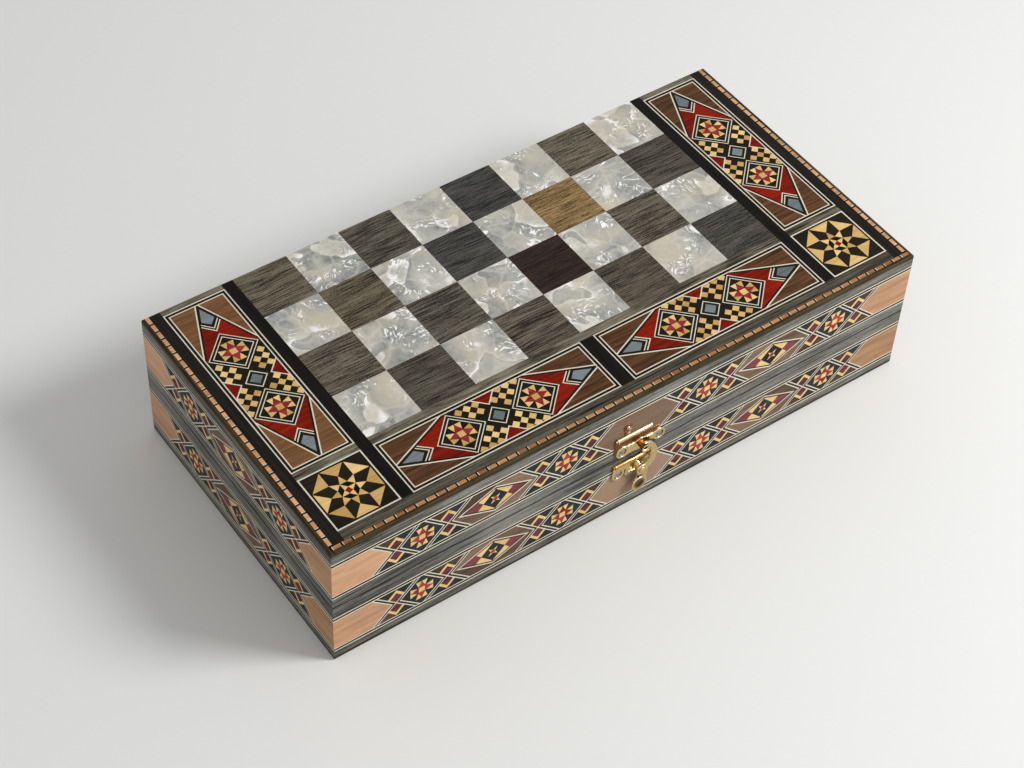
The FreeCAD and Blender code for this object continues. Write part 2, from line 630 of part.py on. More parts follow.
# Keeper plate: ears at both ends and a seat for the peg below, the roll and a lobe with a nail above
keeper_parts = [
    slab("keeper_sheet", PLATE_LEFT, "tray_height + keeper_rise", "plate_left + keeper_right",
         "keeper_top - keeper_rise - ear_radius", "0", "plate_thick"),
    slab("keeper_upper", PLATE_LEFT, "tray_height + keeper_top - ear_radius - overrun",
         "plate_left + keeper_right - ear_radius", "ear_radius + overrun", "0", "plate_thick"),
    disc("keeper_corner", f"{PEG_X} + keeper_right - ear_radius", "tray_height + keeper_top - ear_radius",
         "ear_radius", "0", "plate_thick"),
    slab("keeper_left_foot", PLATE_LEFT, EAR_Z, "plate_left - ear_spacing / 2",
         "keeper_rise - ear_rise + overrun", "0", "plate_thick"),
    slab("keeper_web", f"{PEG_X} - ear_spacing / 2", "tray_height + web_rise", "ear_spacing / 2",
         "keeper_rise - web_rise + overrun", "0", "plate_thick"),
    disc("keeper_lobe", f"{PEG_X} - lobe_offset", "tray_height + lobe_rise", "lobe_radius", "0", "plate_thick"),
    slab("keeper_lobe_root", f"{PEG_X} - lobe_offset - lobe_radius", "tray_height + keeper_top - overrun",
         "2 * lobe_radius", "lobe_rise - keeper_top + overrun", "0", "plate_thick"),
    roll("keeper_roll", PLATE_LEFT, "tray_height + keeper_roll_rise"),
]
for name, aside in (("left", "-ear_spacing / 2"), ("middle", "0"), ("right", "ear_spacing / 2")):
    x = f"{PEG_X} + ({aside})"
    keeper_parts.append(disc(f"keeper_ear_{name}", x, EAR_Z, "ear_radius", "0", "plate_thick"))
    keeper_parts.append(slab(f"keeper_stem_{name}", f"{x} - ear_radius", EAR_Z, "2 * ear_radius",
                             "keeper_rise - ear_rise + overrun", "0", "plate_thick"))
node("clasp_keeper_plate", cut("keeper_plate", fuse("keeper_blank", keeper_parts),
                               clasp_blanks["lid"] + [peg_solid]))

# Rivet that the hook turns on
rivet_solid = fuse("rivet_solid", [
    disc("rivet_shaft", PEG_X, PIVOT_Z, "rivet_radius", "0", "hook_lift + hook_thick + hook_play"),
    disc("rivet_rest", PEG_X, PIVOT_Z, "rivet_shoulder", "plate_thick", "hook_lift - plate_thick - hook_play"),
    cone("rivet_head", PEG_X, before("hook_lift + hook_thick + hook_play"), PIVOT_Z, "rivet_head_radius",
         "rivet_head_face", "rivet_head_thick", "out"),
])
node("clasp_rivet", rivet_solid)

# Hook plate: the roll above, an ear, a lobe with a nail and the seat of the rivet below
PLATE_FOOT = "(tray_height - hook_plate_drop)"
hook_plate_parts = [
    slab("hook_sheet", PLATE_LEFT, PLATE_FOOT, "roll_length", "hook_plate_drop - hook_roll_drop", "0",
         "plate_thick"),
    roll("hook_roll", PLATE_LEFT, "tray_height - hook_roll_drop"),
]
for name, x, z, radius in (
    ("ear", f"{PEG_X} - hook_ear_offset", "(tray_height - hook_ear_drop)", "ear_radius"),
    ("lobe", f"{PEG_X} - hook_nail_offset", "(tray_height - hook_nail_drop)", "lobe_radius"),
    ("seat", PEG_X, PIVOT_Z, "(boss_radius)"),
):
    hook_plate_parts.append(disc(f"hook_plate_{name}", x, z, radius, "0", "plate_thick"))
    hook_plate_parts.append(slab(f"hook_plate_{name}_root", f"{x} - {radius}", z, f"2 * {radius}",
                                 f"{PLATE_FOOT} - {z} + overrun", "0", "plate_thick"))
node("clasp_hook_plate", cut("hook_plate", fuse("hook_plate_blank", hook_plate_parts),
                             clasp_blanks["base"] + [rivet_solid]))

# Hook: a crescent bow that leaves the way of the peg free, a boss round the rivet and a finger pull
bow_x = f"{PEG_X} + hook_shift"
bow = disc("bow_out", bow_x, f"{PIVOT_Z} + swing_clear + hook_tip - hook_radius", "hook_radius",
           "hook_lift", "hook_thick")
bow_cuts = [
    disc("bow_in", f"{bow_x} + hook_radius - hook_side - hook_bore", f"{PIVOT_Z} + swing_clear - hook_bore",
         "hook_bore", "hook_lift - overrun", "hook_thick + 2 * overrun"),
]
way_round = disc("peg_way_round", PEG_X, PIVOT_Z, "swing_clear", "hook_lift - overrun",
                 "hook_thick + 2 * overrun")
way_right = slab("peg_way_right", PEG_X, f"{PIVOT_Z} - swing_clear - overrun", "swing_clear + overrun",
                 "2 * (swing_clear + overrun)", "hook_lift - 2 * overrun", "hook_thick + 4 * overrun")
bow_cuts.append(cut("peg_way", way_round, [way_right]))
bow_cuts.append(slab("bow_end", f"{PEG_X} - tip_reach - hook_radius", PIVOT_Z, "hook_radius",
                     "swing_clear + hook_radius", "hook_lift - overrun", "hook_thick + 2 * overrun"))
hook_parts = [
    cut("bow", bow, bow_cuts),
    disc("hook_boss", PEG_X, PIVOT_Z, "boss_radius", "hook_lift", "hook_thick"),
    slab("hook_neck", f"{PEG_X} - neck_width / 2", f"{PIVOT_Z} - pull_drop", "neck_width", "pull_drop",
         "hook_lift", "hook_thick"),
    disc("hook_pull", f"{PEG_X} - pull_offset", f"{PIVOT_Z} - pull_drop", "pull_radius", "hook_lift",
         "hook_thick"),
]
hook_bore = disc("hook_bore_hole", PEG_X, PIVOT_Z, "rivet_radius + pin_play", "hook_lift - overrun",
                 "hook_thick + 2 * overrun")
node("clasp_hook", cut("hook", fuse("hook_blank", hook_parts), [hook_bore]))

doc.recompute()
faults = [thing.Name for thing in doc.Objects if "Invalid" in thing.State or "Error" in thing.State]
faults += [thing.Label for thing in nodes if thing.Shape.isNull() or not thing.Shape.isValid()]
if faults:
    raise SystemExit(f"these did not build: {faults}")

os.makedirs("parts", exist_ok=True)
for thing in nodes:
    thing.Shape.exportStep(f"parts/{thing.Label}.step")
    print(thing.Label, len(thing.Shape.Solids), round(thing.Shape.Volume, 2))
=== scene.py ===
"""The looks of a folding chess and backgammon box in wood marquetry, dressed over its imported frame.

Sizes are in millimetres, in the frame's own axes: X along the hinged side, Y to the back, Z up.
"""

import logging
import math
import random
from collections.abc import Callable, Sequence
from dataclasses import dataclass, field
from enum import Enum
from itertools import product

import bpy
from mathutils import Matrix, Vector
from mathutils.geometry import delaunay_2d_cdt


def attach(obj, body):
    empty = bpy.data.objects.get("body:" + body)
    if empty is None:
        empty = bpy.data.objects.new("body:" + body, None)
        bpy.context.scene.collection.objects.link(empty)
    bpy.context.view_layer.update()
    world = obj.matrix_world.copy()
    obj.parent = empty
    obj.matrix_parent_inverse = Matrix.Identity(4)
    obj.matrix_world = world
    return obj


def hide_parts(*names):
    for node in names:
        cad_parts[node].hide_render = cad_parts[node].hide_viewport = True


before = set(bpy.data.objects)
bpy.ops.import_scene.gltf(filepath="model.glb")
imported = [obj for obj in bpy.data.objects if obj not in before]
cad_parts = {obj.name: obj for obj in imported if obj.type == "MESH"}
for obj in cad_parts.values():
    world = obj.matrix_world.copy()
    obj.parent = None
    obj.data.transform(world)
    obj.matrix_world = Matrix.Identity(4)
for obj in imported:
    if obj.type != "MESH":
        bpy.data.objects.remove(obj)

log = logging.getLogger("box")

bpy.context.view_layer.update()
MM = 0.001
TO_MM = 1000.0
HALF_LENGTH = 200.0
HALF_WIDTH = 99.1  # from the middle of the box to its front
INLAY_DEPTH = 0.1  # tiles are let in by this much
SPECK = 0.004  # square mm, below which a cut piece is dropped
NEAR = 1e-6  # mm, within which a point lies on a cut
RELIEF = 0.00012  # metres, how deep a pore or a line looks

Point = tuple[float, float]
Place = tuple[float, float, float]
Outline = list[Point]
Tree = bpy.types.NodeTree
Node = bpy.types.Node
Socket = bpy.types.NodeSocket
Material = bpy.types.Material
Piece = bpy.types.Object


# Finishes


def linear(colour: str) -> tuple[float, float, float, float]:
    """Turns an sRGB hex colour to linear.

    Args:
        colour: The colour, such as "#c9a24a".

    Returns:
        Red, green, blue and alpha for a socket.
    """
    shares = [int(colour[i : i + 2], 16) / 255 for i in (1, 3, 5)]
    return (*(s / 12.92 if s <= 0.04045 else ((s + 0.055) / 1.055) ** 2.4 for s in shares), 1.0)


def add(tree: Tree, kind: str, feeds: dict | None = None, **settings) -> Node:
    """Adds a node with its settings and links.

    Args:
        tree: The material's node tree.
        kind: The node's type name, without its ShaderNode prefix.
        feeds: Input name or number to a value, a hex colour, or the socket or node that drives it. A node
            stands for the first of its outputs in use.
        settings: The node's own properties. stops gives a colour ramp's places and colours.

    Returns:
        The node.
    """
    node = tree.nodes.new("ShaderNode" + kind)
    for name, value in settings.items():
        if name == "stops":
            elements = node.color_ramp.elements
            while len(elements) < len(value):
                elements.new(0.5)
            for element, (place, colour) in zip(elements, value):
                element.position, element.color = place, linear(colour)
        else:
            setattr(node, name, value)
    for key, value in (feeds or {}).items():
        if isinstance(value, Node):
            value = next(socket for socket in value.outputs if socket.enabled)
        if isinstance(value, Socket):
            tree.links.new(value, node.inputs[key])
        else:
            node.inputs[key].default_value = linear(value) if isinstance(value, str) else value
    return node


def new_material(name: str) -> tuple[Material, Tree]:
    """Makes a material with an empty node tree.

    Args:
        name: The finish's name.

    Returns:
        The material and its tree.
    """
    material = bpy.data.materials.new(name)
    material.use_nodes = True
    material.node_tree.nodes.clear()
    return material, material.node_tree


def finish_surface(tree: Tree, feeds: dict) -> None:
    """Ends a material with a Principled shader.

    Args:
        tree: The material's tree.
        feeds: The shader's values and links.
    """
    add(tree, "OutputMaterial", {"Surface": add(tree, "BsdfPrincipled", feeds)})


def place_in_mm(tree: Tree) -> Node:
    """The place on the piece, in the frame's millimetres."""
    place = add(tree, "TexCoord").outputs["Object"]
    return add(tree, "VectorMath", {0: place, "Scale": TO_MM}, operation="SCALE")


class Run(Enum):
    """Which way a veneer's grain runs."""

    ALONG_X = "along x"
    ALONG_Y = "along y"
    ROUND_FACE = "along x, and along y near the ends of a face"
    ROUND_SIDES = "along each side of the box"


@dataclass(frozen=True)
class Veneer:
    """Sliced wood veneer, plain or dyed, sanded flush and lacquered.

    Its grain shows as long streaks with short dark pores, under a thin satin coat.
    """

    name: str
    low: str
    high: str
    run: Run = Run.ALONG_X
    line: float = 1.3  # mm between streaks
    reach: float = 26.0  # mm that a streak runs
    pore: float = 0.45  # mm between pores, coarser than real ones so that they show
    pore_length: float = 3.4
    pore_depth: float = 0.45
    figure: float = 1.0  # share of the way from low to high that the streaks cover
    spread: float = 0.5  # how much tiles differ
    by_tile: bool = False
    tile_shift: float = 730.0  # mm in the leaf between a tile of tone 0 and one of tone 1
    by_place: float = 0.0  # mm of a slow change of tone along the strips
    phase: float = 0.0  # mm by which that change is moved
    arris: float | None = None  # z of a seam along which the wood is darkened: painted shade of the gap, with some grime
    turn: float = 188.6  # |x| past which ROUND_FACE runs along y
    turned_dim: float = 0.0  # how much darker it is there
    roughness: float = 0.42
    gloss: float = 0.06
    bump: float = 0.25

    def axes(self, tree: Tree, spot: Node, leaf: Node) -> tuple[list[Node | Socket], Node | None]:
        """Finds which way the grain runs.

        Args:
            tree: The material's tree.
            spot: The place on the box.
            leaf: The place in the leaf that the piece is cut from.

        Returns:
            The leaf's places along, across and through the grain, and what is 1 where the grain has turned.
        """
        x, y, z = add(tree, "SeparateXYZ", {0: leaf}).outputs
        if self.run is Run.ALONG_X:
            return [x, y, z], None
        if self.run is Run.ALONG_Y:
            return [y, x, z], None
        if self.run is Run.ROUND_FACE:
            reading, limit = spot, self.turn
        else:
            # The normals of the short sides lie along x.
            reading, limit = add(tree, "TexCoord").outputs["Normal"], 0.5
        far = add(tree, "Math", {0: add(tree, "SeparateXYZ", {0: reading})}, operation="ABSOLUTE")
        past = add(tree, "Math", {0: far, 1: limit}, operation="GREATER_THAN")
        along = add(tree, "Mix", {"Factor": past, "A": x, "B": y})
        across = add(tree, "Mix", {"Factor": past, "A": y, "B": x})
        return [along, across, z], past

    @staticmethod
    def drawn_out(tree: Tree, axes: list[Node | Socket], long: float, wide: float) -> Node:
        """Stretches a place along the grain.

        Args:
            tree: The material's tree.
            axes: The places along, across and through the grain.
            long: How long the figure is, in mm.
            wide: How wide it is, in mm.

        Returns:
            The place in lengths and widths of the figure.
        """
        shares = {}
        for way, axis, size in zip("XYZ", axes, (long, wide, wide)):
            shares[way] = add(tree, "Math", {0: axis, 1: size}, operation="DIVIDE")
        return add(tree, "CombineXYZ", shares)

    def toned(self, tree: Tree, level: Node, spot: Node, past: Node | None, tone: Socket | None) -> Node:
        """Lightens and darkens the streaks along strips, where the grain has turned and from tile to tile.

        Args:
            tree: The material's tree.
            level: The streaks, from 0 for the darkest to 1.
            spot: The place on the box.
            past: 1 where the grain has turned.
            tone: The tile's tone.

        Returns:
            The streaks with their changes of tone.
        """
        if self.by_place:
            moved_on = add(tree, "VectorMath", {0: spot, 1: (self.phase,) * 3}, operation="ADD")
            slow = add(tree, "TexNoise", {"Vector": moved_on, "Scale": 1.0 / self.by_place, "Detail": 1.0})
            swell = add(tree, "Math", {0: slow, 1: 1.3, 2: -0.65}, operation="MULTIPLY_ADD")
            level = add(tree, "Math", {0: level, 1: swell}, operation="ADD", use_clamp=True)
        if self.turned_dim:
            dimmed = add(tree, "Math", {0: past, 1: -self.turned_dim, 2: 1.0}, operation="MULTIPLY_ADD")
            level = add(tree, "Math", {0: level, 1: dimmed}, operation="MULTIPLY")
        if tone is not None:
            centred = add(tree, "Math", {0: tone, 1: 0.5}, operation="SUBTRACT")
            shares = {0: centred, 1: self.spread * 2, 2: level}
            level = add(tree, "Math", shares, operation="MULTIPLY_ADD", use_clamp=True)
        return level

    def darken_seam(self, tree: Tree, wood: Node, spot: Node) -> Node:
        """Darkens the wood along a seam: painted shade of the gap, with some grime.

        Args:
            tree: The material's tree.
            wood: The wood's colour.
            spot: The place on the box.

        Returns:
            The colour with the painted shade and grime along the seam.
        """
        height = add(tree, "SeparateXYZ", {0: spot}).outputs[2]
        off = add(tree, "Math", {0: height, 1: self.arris}, operation="SUBTRACT")
        off = add(tree, "Math", {0: off}, operation="ABSOLUTE")
        # Painted shade of the seam's gap, with some grime: darkest within 0.3 mm of the seam.
        seam_shade = add(tree, "MapRange", {"Value": off, "From Min": 0.75, "From Max": 0.3, "To Max": 0.85})
        return add(tree, "Mix", {"Factor": seam_shade, "A": wood, "B": "#0d0a08"}, data_type="RGBA")

    def material(self) -> Material:
        """Makes the veneer's material.

        Returns:
            The material.
        """
        material, tree = new_material(self.name)
        spot = leaf = place_in_mm(tree)
        tone = None
        if self.by_tile:
            tone = add(tree, "Attribute", attribute_name="tone").outputs["Fac"]
            shift = add(tree, "Math", {0: tone, 1: self.tile_shift}, operation="MULTIPLY")
            leaf = add(tree, "VectorMath", {0: spot, 1: shift}, operation="ADD")
        axes, past = self.axes(tree, spot, leaf)
        grain = self.drawn_out(tree, axes, self.reach, self.line)
        turbulence = {"Detail": 4.0, "Roughness": 0.62, "Distortion": 0.25}
        streaks = add(tree, "TexNoise", {"Vector": grain, "Scale": 0.7, **turbulence})
        pitted = self.drawn_out(tree, axes, self.pore_length, self.pore)
        pores = add(tree, "TexNoise", {"Vector": pitted, "Scale": 1.0, "Detail": 2.0})
        deep = {"To Max": self.pore_depth}
        pores = add(tree, "MapRange", {"Value": pores, "From Min": 0.5, "From Max": 0.72, **deep})
        covered = {"To Min": 0.5 - self.figure / 2, "To Max": 0.5 + self.figure / 2}
        level = add(tree, "MapRange", {"Value": streaks, "From Min": 0.34, "From Max": 0.66, **covered})
        level = self.toned(tree, level, spot, past, tone)
        wood = add(tree, "Mix", {"Factor": level, "A": self.low, "B": self.high}, data_type="RGBA")
        wood = add(tree, "Mix", {"Factor": pores, "A": wood, "B": "#080605"}, data_type="RGBA")
        if self.arris is not None:
            wood = self.darken_seam(tree, wood, spot)
        sunk = add(tree, "Bump", {"Strength": self.bump, "Distance": RELIEF, "Height": pores}, invert=True)
        look = {"Base Color": wood, "Roughness": self.roughness, "Specular IOR Level": self.gloss}
        finish_surface(tree, look | {"Normal": sunk})
        return material


@dataclass(frozen=True)
class SquareFinish:
    """What both finishes of the chess squares share: every square is cut from another place of its sheet."""

    name: str
    pitch: float
    corner: Point

    def cut(self, tree: Tree, apart: float) -> tuple[Node, Node, Node]:
        """Finds where in the sheet each square is cut.

        Args:
            tree: The material's tree.
            apart: How far apart in the sheet the squares can lie, in mm.

        Returns:
            The square's number, its random draw and the place in the sheet.
        """
        spot = place_in_mm(tree)
        off = add(tree, "VectorMath", {0: spot, 1: (*self.corner, 0.0)}, operation="SUBTRACT")
        # The large height keeps all of a square's thickness in one cell.
        cells = add(tree, "VectorMath", {0: off, 1: (self.pitch, self.pitch, 1e6)}, operation="DIVIDE")
        cell = add(tree, "VectorMath", {0: cells}, operation="FLOOR")
        draw = add(tree, "TexWhiteNoise", {"Vector": cell}, noise_dimensions="3D")
        away = add(tree, "VectorMath", {0: draw.outputs["Color"], "Scale": apart}, operation="SCALE")
        return cell, draw, add(tree, "VectorMath", {0: spot, 1: away}, operation="ADD")


@dataclass(frozen=True)
class BoardWood(SquareFinish):
    """The dark squares of the chess field: open grained veneer, each square from another leaf.

    Squares differ from grey brown to charcoal, one is tan and one red brown, all under a satin lacquer.
    """

    tan_square: Point
    red_square: Point
    tones: tuple[float, ...] = (0.0, 0.3, 0.55, 0.8, 1.0)  # the draws of the colours below
    lows: tuple[str, ...] = ("#1b160c", "#1f1a12", "#171410", "#111112", "#1c1811")
    highs: tuple[str, ...] = ("#746850", "#827a69", "#696152", "#545453", "#777060")
    figures: tuple[Place, ...] = ((15.0, 0.52, 3.0), (60.0, 7.0, 1.0), (1.1, 0.4, 2.0))  # long, wide, detail

    def material(self) -> Material:
        """Makes the squares' material.

        Returns:
            The material.
        """
        material, tree = new_material(self.name)
        cell, draw, grain = self.cut(tree, 900.0)
        drift = add(tree, "TexNoise", {"Vector": grain, "Scale": 0.035, "Detail": 1.0})
        drift = add(tree, "CombineXYZ", {"Y": add(tree, "Math", {0: drift, 1: 2.5}, operation="MULTIPLY")})
        grain = add(tree, "VectorMath", {0: grain, 1: drift}, operation="ADD")
        noises = []
        for long, wide, detail in self.figures:
            shares = (1 / long, 1 / wide, 1 / wide)
            room = add(tree, "VectorMath", {0: grain, 1: shares}, operation="MULTIPLY")
            noises.append(add(tree, "TexNoise", {"Vector": room, "Scale": 1.0, "Detail": detail}))
        fine, broad, pores = noises
        level = add(tree, "Math", {0: broad, 1: 0.25, 2: fine}, operation="MULTIPLY_ADD")
        level = add(tree, "Math", {0: pores, 1: 0.5, 2: level}, operation="MULTIPLY_ADD")
        level = add(tree, "MapRange", {"Value": level, "From Min": 0.74, "From Max": 1.03})
        low, high = (
            add(tree, "ValToRGB", {0: draw}, stops=list(zip(self.tones, colours)))
            for colours in (self.lows, self.highs)
        )
        for square, dark, light in (
            (self.tan_square, "#402f18", "#a88a5e"),
            (self.red_square, "#140e0b", "#3a2b25"),
        ):
            near = add(tree, "VectorMath", {0: cell, 1: (*square, 0.0)}, operation="DISTANCE")
            same = add(tree, "Math", {0: near, 1: 0.4}, operation="LESS_THAN")
            low = add(tree, "Mix", {"Factor": same, "A": low, "B": dark}, data_type="RGBA")
            high = add(tree, "Mix", {"Factor": same, "A": high, "B": light}, data_type="RGBA")
        wood = add(tree, "Mix", {"Factor": level, "A": low, "B": high}, data_type="RGBA")
        raised = add(tree, "Bump", {"Strength": 0.3, "Distance": RELIEF, "Height": fine})
        look = {"Base Color": wood, "Roughness": 0.42, "Specular IOR Level": 0.08, "Normal": raised}
        finish_surface(tree, look)
        return material


@dataclass(frozen=True)
class PearlVeneer(SquareFinish):
    """Mother of pearl laminate, cast in sheets and polished.

    It shows crumpled silvery folds: broad soft grey and cream leaves, each with one sharp edge, and bright
    flakes where the sheet is creased.
    """

    push: float = 34.0  # mm by which the folds are bent out of line
    fold: float = 0.042  # folds to a mm

    def folded(self, tree: Tree, sheet: Node, pushed: Node) -> tuple[Node, Node]:
        """Makes the folds.

        Args:
            tree: The material's tree.
            sheet: The place in the sheet.
            pushed: The same place, bent out of line.

        Returns:
            The folds' colour, and the place across a leaf, which grows from 0 to 1 at its sharp edge.
        """
        swell = add(tree, "TexNoise", {"Vector": pushed, "Scale": 0.03, "Detail": 0.3})
        leaves = []
        for count, shift in ((3.0, 0.0), (1.8, 0.37)):
            steps = add(tree, "Math", {0: swell, 1: count, 2: shift}, operation="MULTIPLY_ADD")
            leaves.append(add(tree, "Math", {0: steps}, operation="FRACT"))
        patches = add(tree, "TexVoronoi", {"Vector": pushed, "Scale": self.fold}, feature="F1")
        patch = add(tree, "SeparateXYZ", {0: patches.outputs["Color"]})
        level = add(tree, "Math", {0: patch, 1: 0.45, 2: leaves[0]}, operation="MULTIPLY_ADD")
        level = add(tree, "Math", {0: leaves[1], 1: 0.4, 2: level}, operation="MULTIPLY_ADD")
        turbulence = {"Detail": 3.0, "Roughness": 0.6, "Distortion": 0.9}
        mottle = add(tree, "TexNoise", {"Vector": sheet, "Scale": 0.33, **turbulence})
        level = add(tree, "Math", {0: mottle, 1: 1.5, 2: level}, operation="MULTIPLY_ADD")
        level = add(tree, "MapRange", {"Value": level, "From Min": 0.8, "From Max": 2.5})
        stops = [(0.0, "#757a7a"), (0.35, "#a5a59e"), (0.7, "#bbb8ac"), (1.0, "#d8d5ca")]
        base = add(tree, "ValToRGB", {0: level}, stops=stops)
        honey = add(tree, "TexNoise", {"Vector": sheet, "Scale": 0.045, "Detail": 1.0})
        honey = add(tree, "MapRange", {"Value": honey, "From Min": 0.45, "From Max": 0.7, "To Max": 0.6})
        base = add(tree, "Mix", {"Factor": honey, "A": base, "B": "#c9bfa6"}, data_type="RGBA")
        # Soft light ridges where two folds meet.
        edges = add(tree, "TexVoronoi", {"Vector": pushed, "Scale": self.fold}, feature="DISTANCE_TO_EDGE")
        ridge = add(tree, "MapRange", {"Value": edges, "From Min": 0.08, "From Max": 0.0, "To Max": 0.32})
        return add(tree, "Mix", {"Factor": ridge, "A": base, "B": "#dcd8c9"}, data_type="RGBA"), leaves[0]

    def material(self) -> Material:
        """Makes the pearl's material.

        Returns:
            The material.
        """
        material, tree = new_material(self.name)
        sheet = self.cut(tree, 700.0)[2]
        warp = add(tree, "TexNoise", {"Vector": sheet, "Scale": 0.05, "Detail": 1.5}).outputs["Color"]
        pushed = add(tree, "VectorMath", {0: warp, 1: (self.push,) * 3, 2: sheet}, operation="MULTIPLY_ADD")
        base, leaf = self.folded(tree, sheet, pushed)
        # Crumpled places catch the light in sharp flakes.
        crumple = add(tree, "TexNoise", {"Vector": sheet, "Scale": 0.075, "Detail": 1.0})
        flakes = add(tree, "TexNoise", {"Vector": pushed, "Scale": 0.15, "Detail": 3.0, "Distortion": 2.6})
        marks = []
        for value, start, end, most, near, far in (
            (flakes, 0.56, 0.63, 1.0, 0.51, 0.57),
            (flakes, 0.46, 0.36, 0.5, 0.51, 0.57),
            (leaf, 0.84, 1.0, 0.95, 0.48, 0.58),
        ):
            mark = add(tree, "MapRange", {"Value": value, "From Min": start, "From Max": end, "To Max": most})
            shown = add(tree, "MapRange", {"Value": crumple, "From Min": near, "From Max": far})
            marks.append(add(tree, "Math", {0: mark, 1: shown}, operation="MULTIPLY"))
        spark, shade, edge = marks
        bright = add(tree, "Math", {0: spark, 1: edge}, operation="MAXIMUM")
        base = add(tree, "Mix", {"Factor": shade, "A": base, "B": "#767e80"}, data_type="RGBA")
        shell = add(tree, "Mix", {"Factor": bright, "A": base, "B": "#fbfbf8"}, data_type="RGBA")
        look = {"Base Color": shell, "Roughness": 0.3, "Specular IOR Level": 0.25}
        finish_surface(tree, look | {"Coat Weight": 0.25, "Coat Roughness": 0.06})
        return material


@dataclass(frozen=True)
class Metal:
    """Stamped or turned metal with fine handling marks, which break its reflections slightly.

    What looks up is painted pale, as a highlight. What looks down or lies sunk is painted darker, as shade.
    """

    name: str
    colour: str
    worn: str
    # Painted shade: the colour of faces that look down and of dished places.
    under: str
    # Painted highlight: the colour of faces that look up.
    glint: str
    roughness: float = 0.2
    mark: float = 1.5  # mm between marks

    def material(self) -> Material:
        """Makes the metal's material.

        Returns:
            The material.
        """
        material, tree = new_material(self.name)
        spot = place_in_mm(tree)
        fine = {"Scale": 1.0 / self.mark, "Detail": 4.0, "Roughness": 0.6}
        marks = add(tree, "TexNoise", {"Vector": spot, **fine})
        tone = add(tree, "Mix", {"Factor": marks, "A": self.worn, "B": self.colour}, data_type="RGBA")
        height = add(tree, "SeparateXYZ", {0: add(tree, "TexCoord").outputs["Normal"]}).outputs[2]
        sunk = add(tree, "Attribute", attribute_name="sunk").outputs["Fac"]
        # Painted shade where the face looks down, painted highlight where it looks up, and painted shade
        # where it is dished.
        for reading, start, end, colour in (
            (height, -0.1, -0.75, self.under),
            (height, 0.45, 0.9, self.glint),
            (sunk, 0.0, 0.6, self.under),
        ):
            share = add(tree, "MapRange", {"Value": reading, "From Min": start, "From Max": end})
            tone = add(tree, "Mix", {"Factor": share, "A": tone, "B": colour}, data_type="RGBA")
        worn = {"To Min": self.roughness * 0.7, "To Max": self.roughness * 1.4}
        rough = add(tree, "MapRange", {"Value": marks, "From Min": 0.3, "From Max": 0.7, **worn})
        finish_surface(tree, {"Base Color": tone, "Metallic": 1.0, "Roughness": rough})
        return material


# Marquetry


def area(outline: Outline) -> float:
    """The outline's area, positive where it runs counterclockwise."""
    return sum(a[0] * b[1] - b[0] * a[1] for a, b in zip(outline, outline[1:] + outline[:1])) / 2


def rectangle(left: float, low: float, right: float, high: float) -> Outline:
    """A rectangle from its edges."""
    return [(left, low), (right, low), (right, high), (left, high)]


def diamond(half: float, middle: Point = (0.0, 0.0), half_height: float | None = None) -> Outline:
    """A square on its point, or a rhomb where half_height is given.

    Args:
        half: Half its diagonal along u.
        middle: Its middle.
        half_height: Half its diagonal along v.

    Returns:
        The outline.
    """
    u, v = middle
    tall = half if half_height is None else half_height
    return [(u + half, v), (u, v + tall), (u - half, v), (u, v - tall)]


def facing(outline: Outline) -> Outline:
    """The outline run counterclockwise."""
    return outline if area(outline) > 0 else outline[::-1]


def extent(outline: Outline) -> tuple[float, float, float, float]:
    """The outline's least u and v and its greatest u and v."""
    us, vs = zip(*outline)
    return min(us), min(vs), max(us), max(vs)


def mirrored(outline: Sequence[Point], across_u: float, across_v: float) -> Outline:
    """The outline with its u and v times those signs."""
    return [(u * across_u, v * across_v) for u, v in outline]


def moved(outline: Outline, u: float, v: float = 0.0) -> Outline:
    """The outline moved by u and v."""
    return [(a + u, b + v) for a, b in outline]


def turned(outline: Outline, degrees: float) -> Outline:
    """The outline turned about the middle."""
    c, s = math.cos(math.radians(degrees)), math.sin(math.radians(degrees))
    return [(u * c - v * s, u * s + v * c) for u, v in outline]


def polar(radius: float, degrees: float) -> Point:
    """The point at that radius and angle."""
    return turned([(radius, 0.0)], degrees)[0]


def parted(outline: Outline, start: Point, end: Point) -> tuple[Outline, Outline]:
    """Cuts a convex outline along a line.

    Args:
        outline: The outline.
        start: Where the line starts.
        end: Where it ends.

    Returns:
        What lies left and what lies right of the line.
    """
    length = math.dist(start, end)
    du, dv = (end[0] - start[0]) / length, (end[1] - start[1]) / length
    sides = [du * (v - start[1]) - dv * (u - start[0]) for u, v in outline]
    left, right = [], []
    for i, (point, side) in enumerate(zip(outline, sides)):
        after, far = outline[(i + 1) % len(outline)], sides[(i + 1) % len(outline)]
        if side > -NEAR:
            left.append(point)
        if side < NEAR:
            right.append(point)
        if min(side, far) < -NEAR and max(side, far) > NEAR:
            share = side / (side - far)
            cut = (point[0] + (after[0] - point[0]) * share, point[1] + (after[1] - point[1]) * share)
            left.append(cut)
            right.append(cut)
    return left, right


def kept(outline: Outline) -> bool:
    """Whether a cut piece is large enough to lay."""
    return len(outline) > 2 and area(outline) > SPECK


def common(outline: Outline, window: Outline) -> Outline:
    """What two convex outlines share.

    Args:
        outline: The one.
        window: The other, run counterclockwise.

    Returns:
        The outline that they share, or none.
    """
    rest = outline
    for start, end in zip(window, window[1:] + window[:1]):
        rest = parted(rest, start, end)[0]
        if len(rest) < 3:
            return []
    return rest


def without(outline: Outline, cutter: Outline) -> list[Outline]:
    """What is left of a convex outline once a convex cutter is taken out, in convex pieces.

    Args:
        outline: The outline.
        cutter: What is taken out, run counterclockwise.

    Returns:
        The pieces.
    """
    pieces, rest = [], outline
    for start, end in zip(cutter, cutter[1:] + cutter[:1]):
        rest, outside = parted(rest, start, end)
        if not kept(rest):
            return [outline]
        if kept(outside):
            pieces.append(outside)
    return pieces


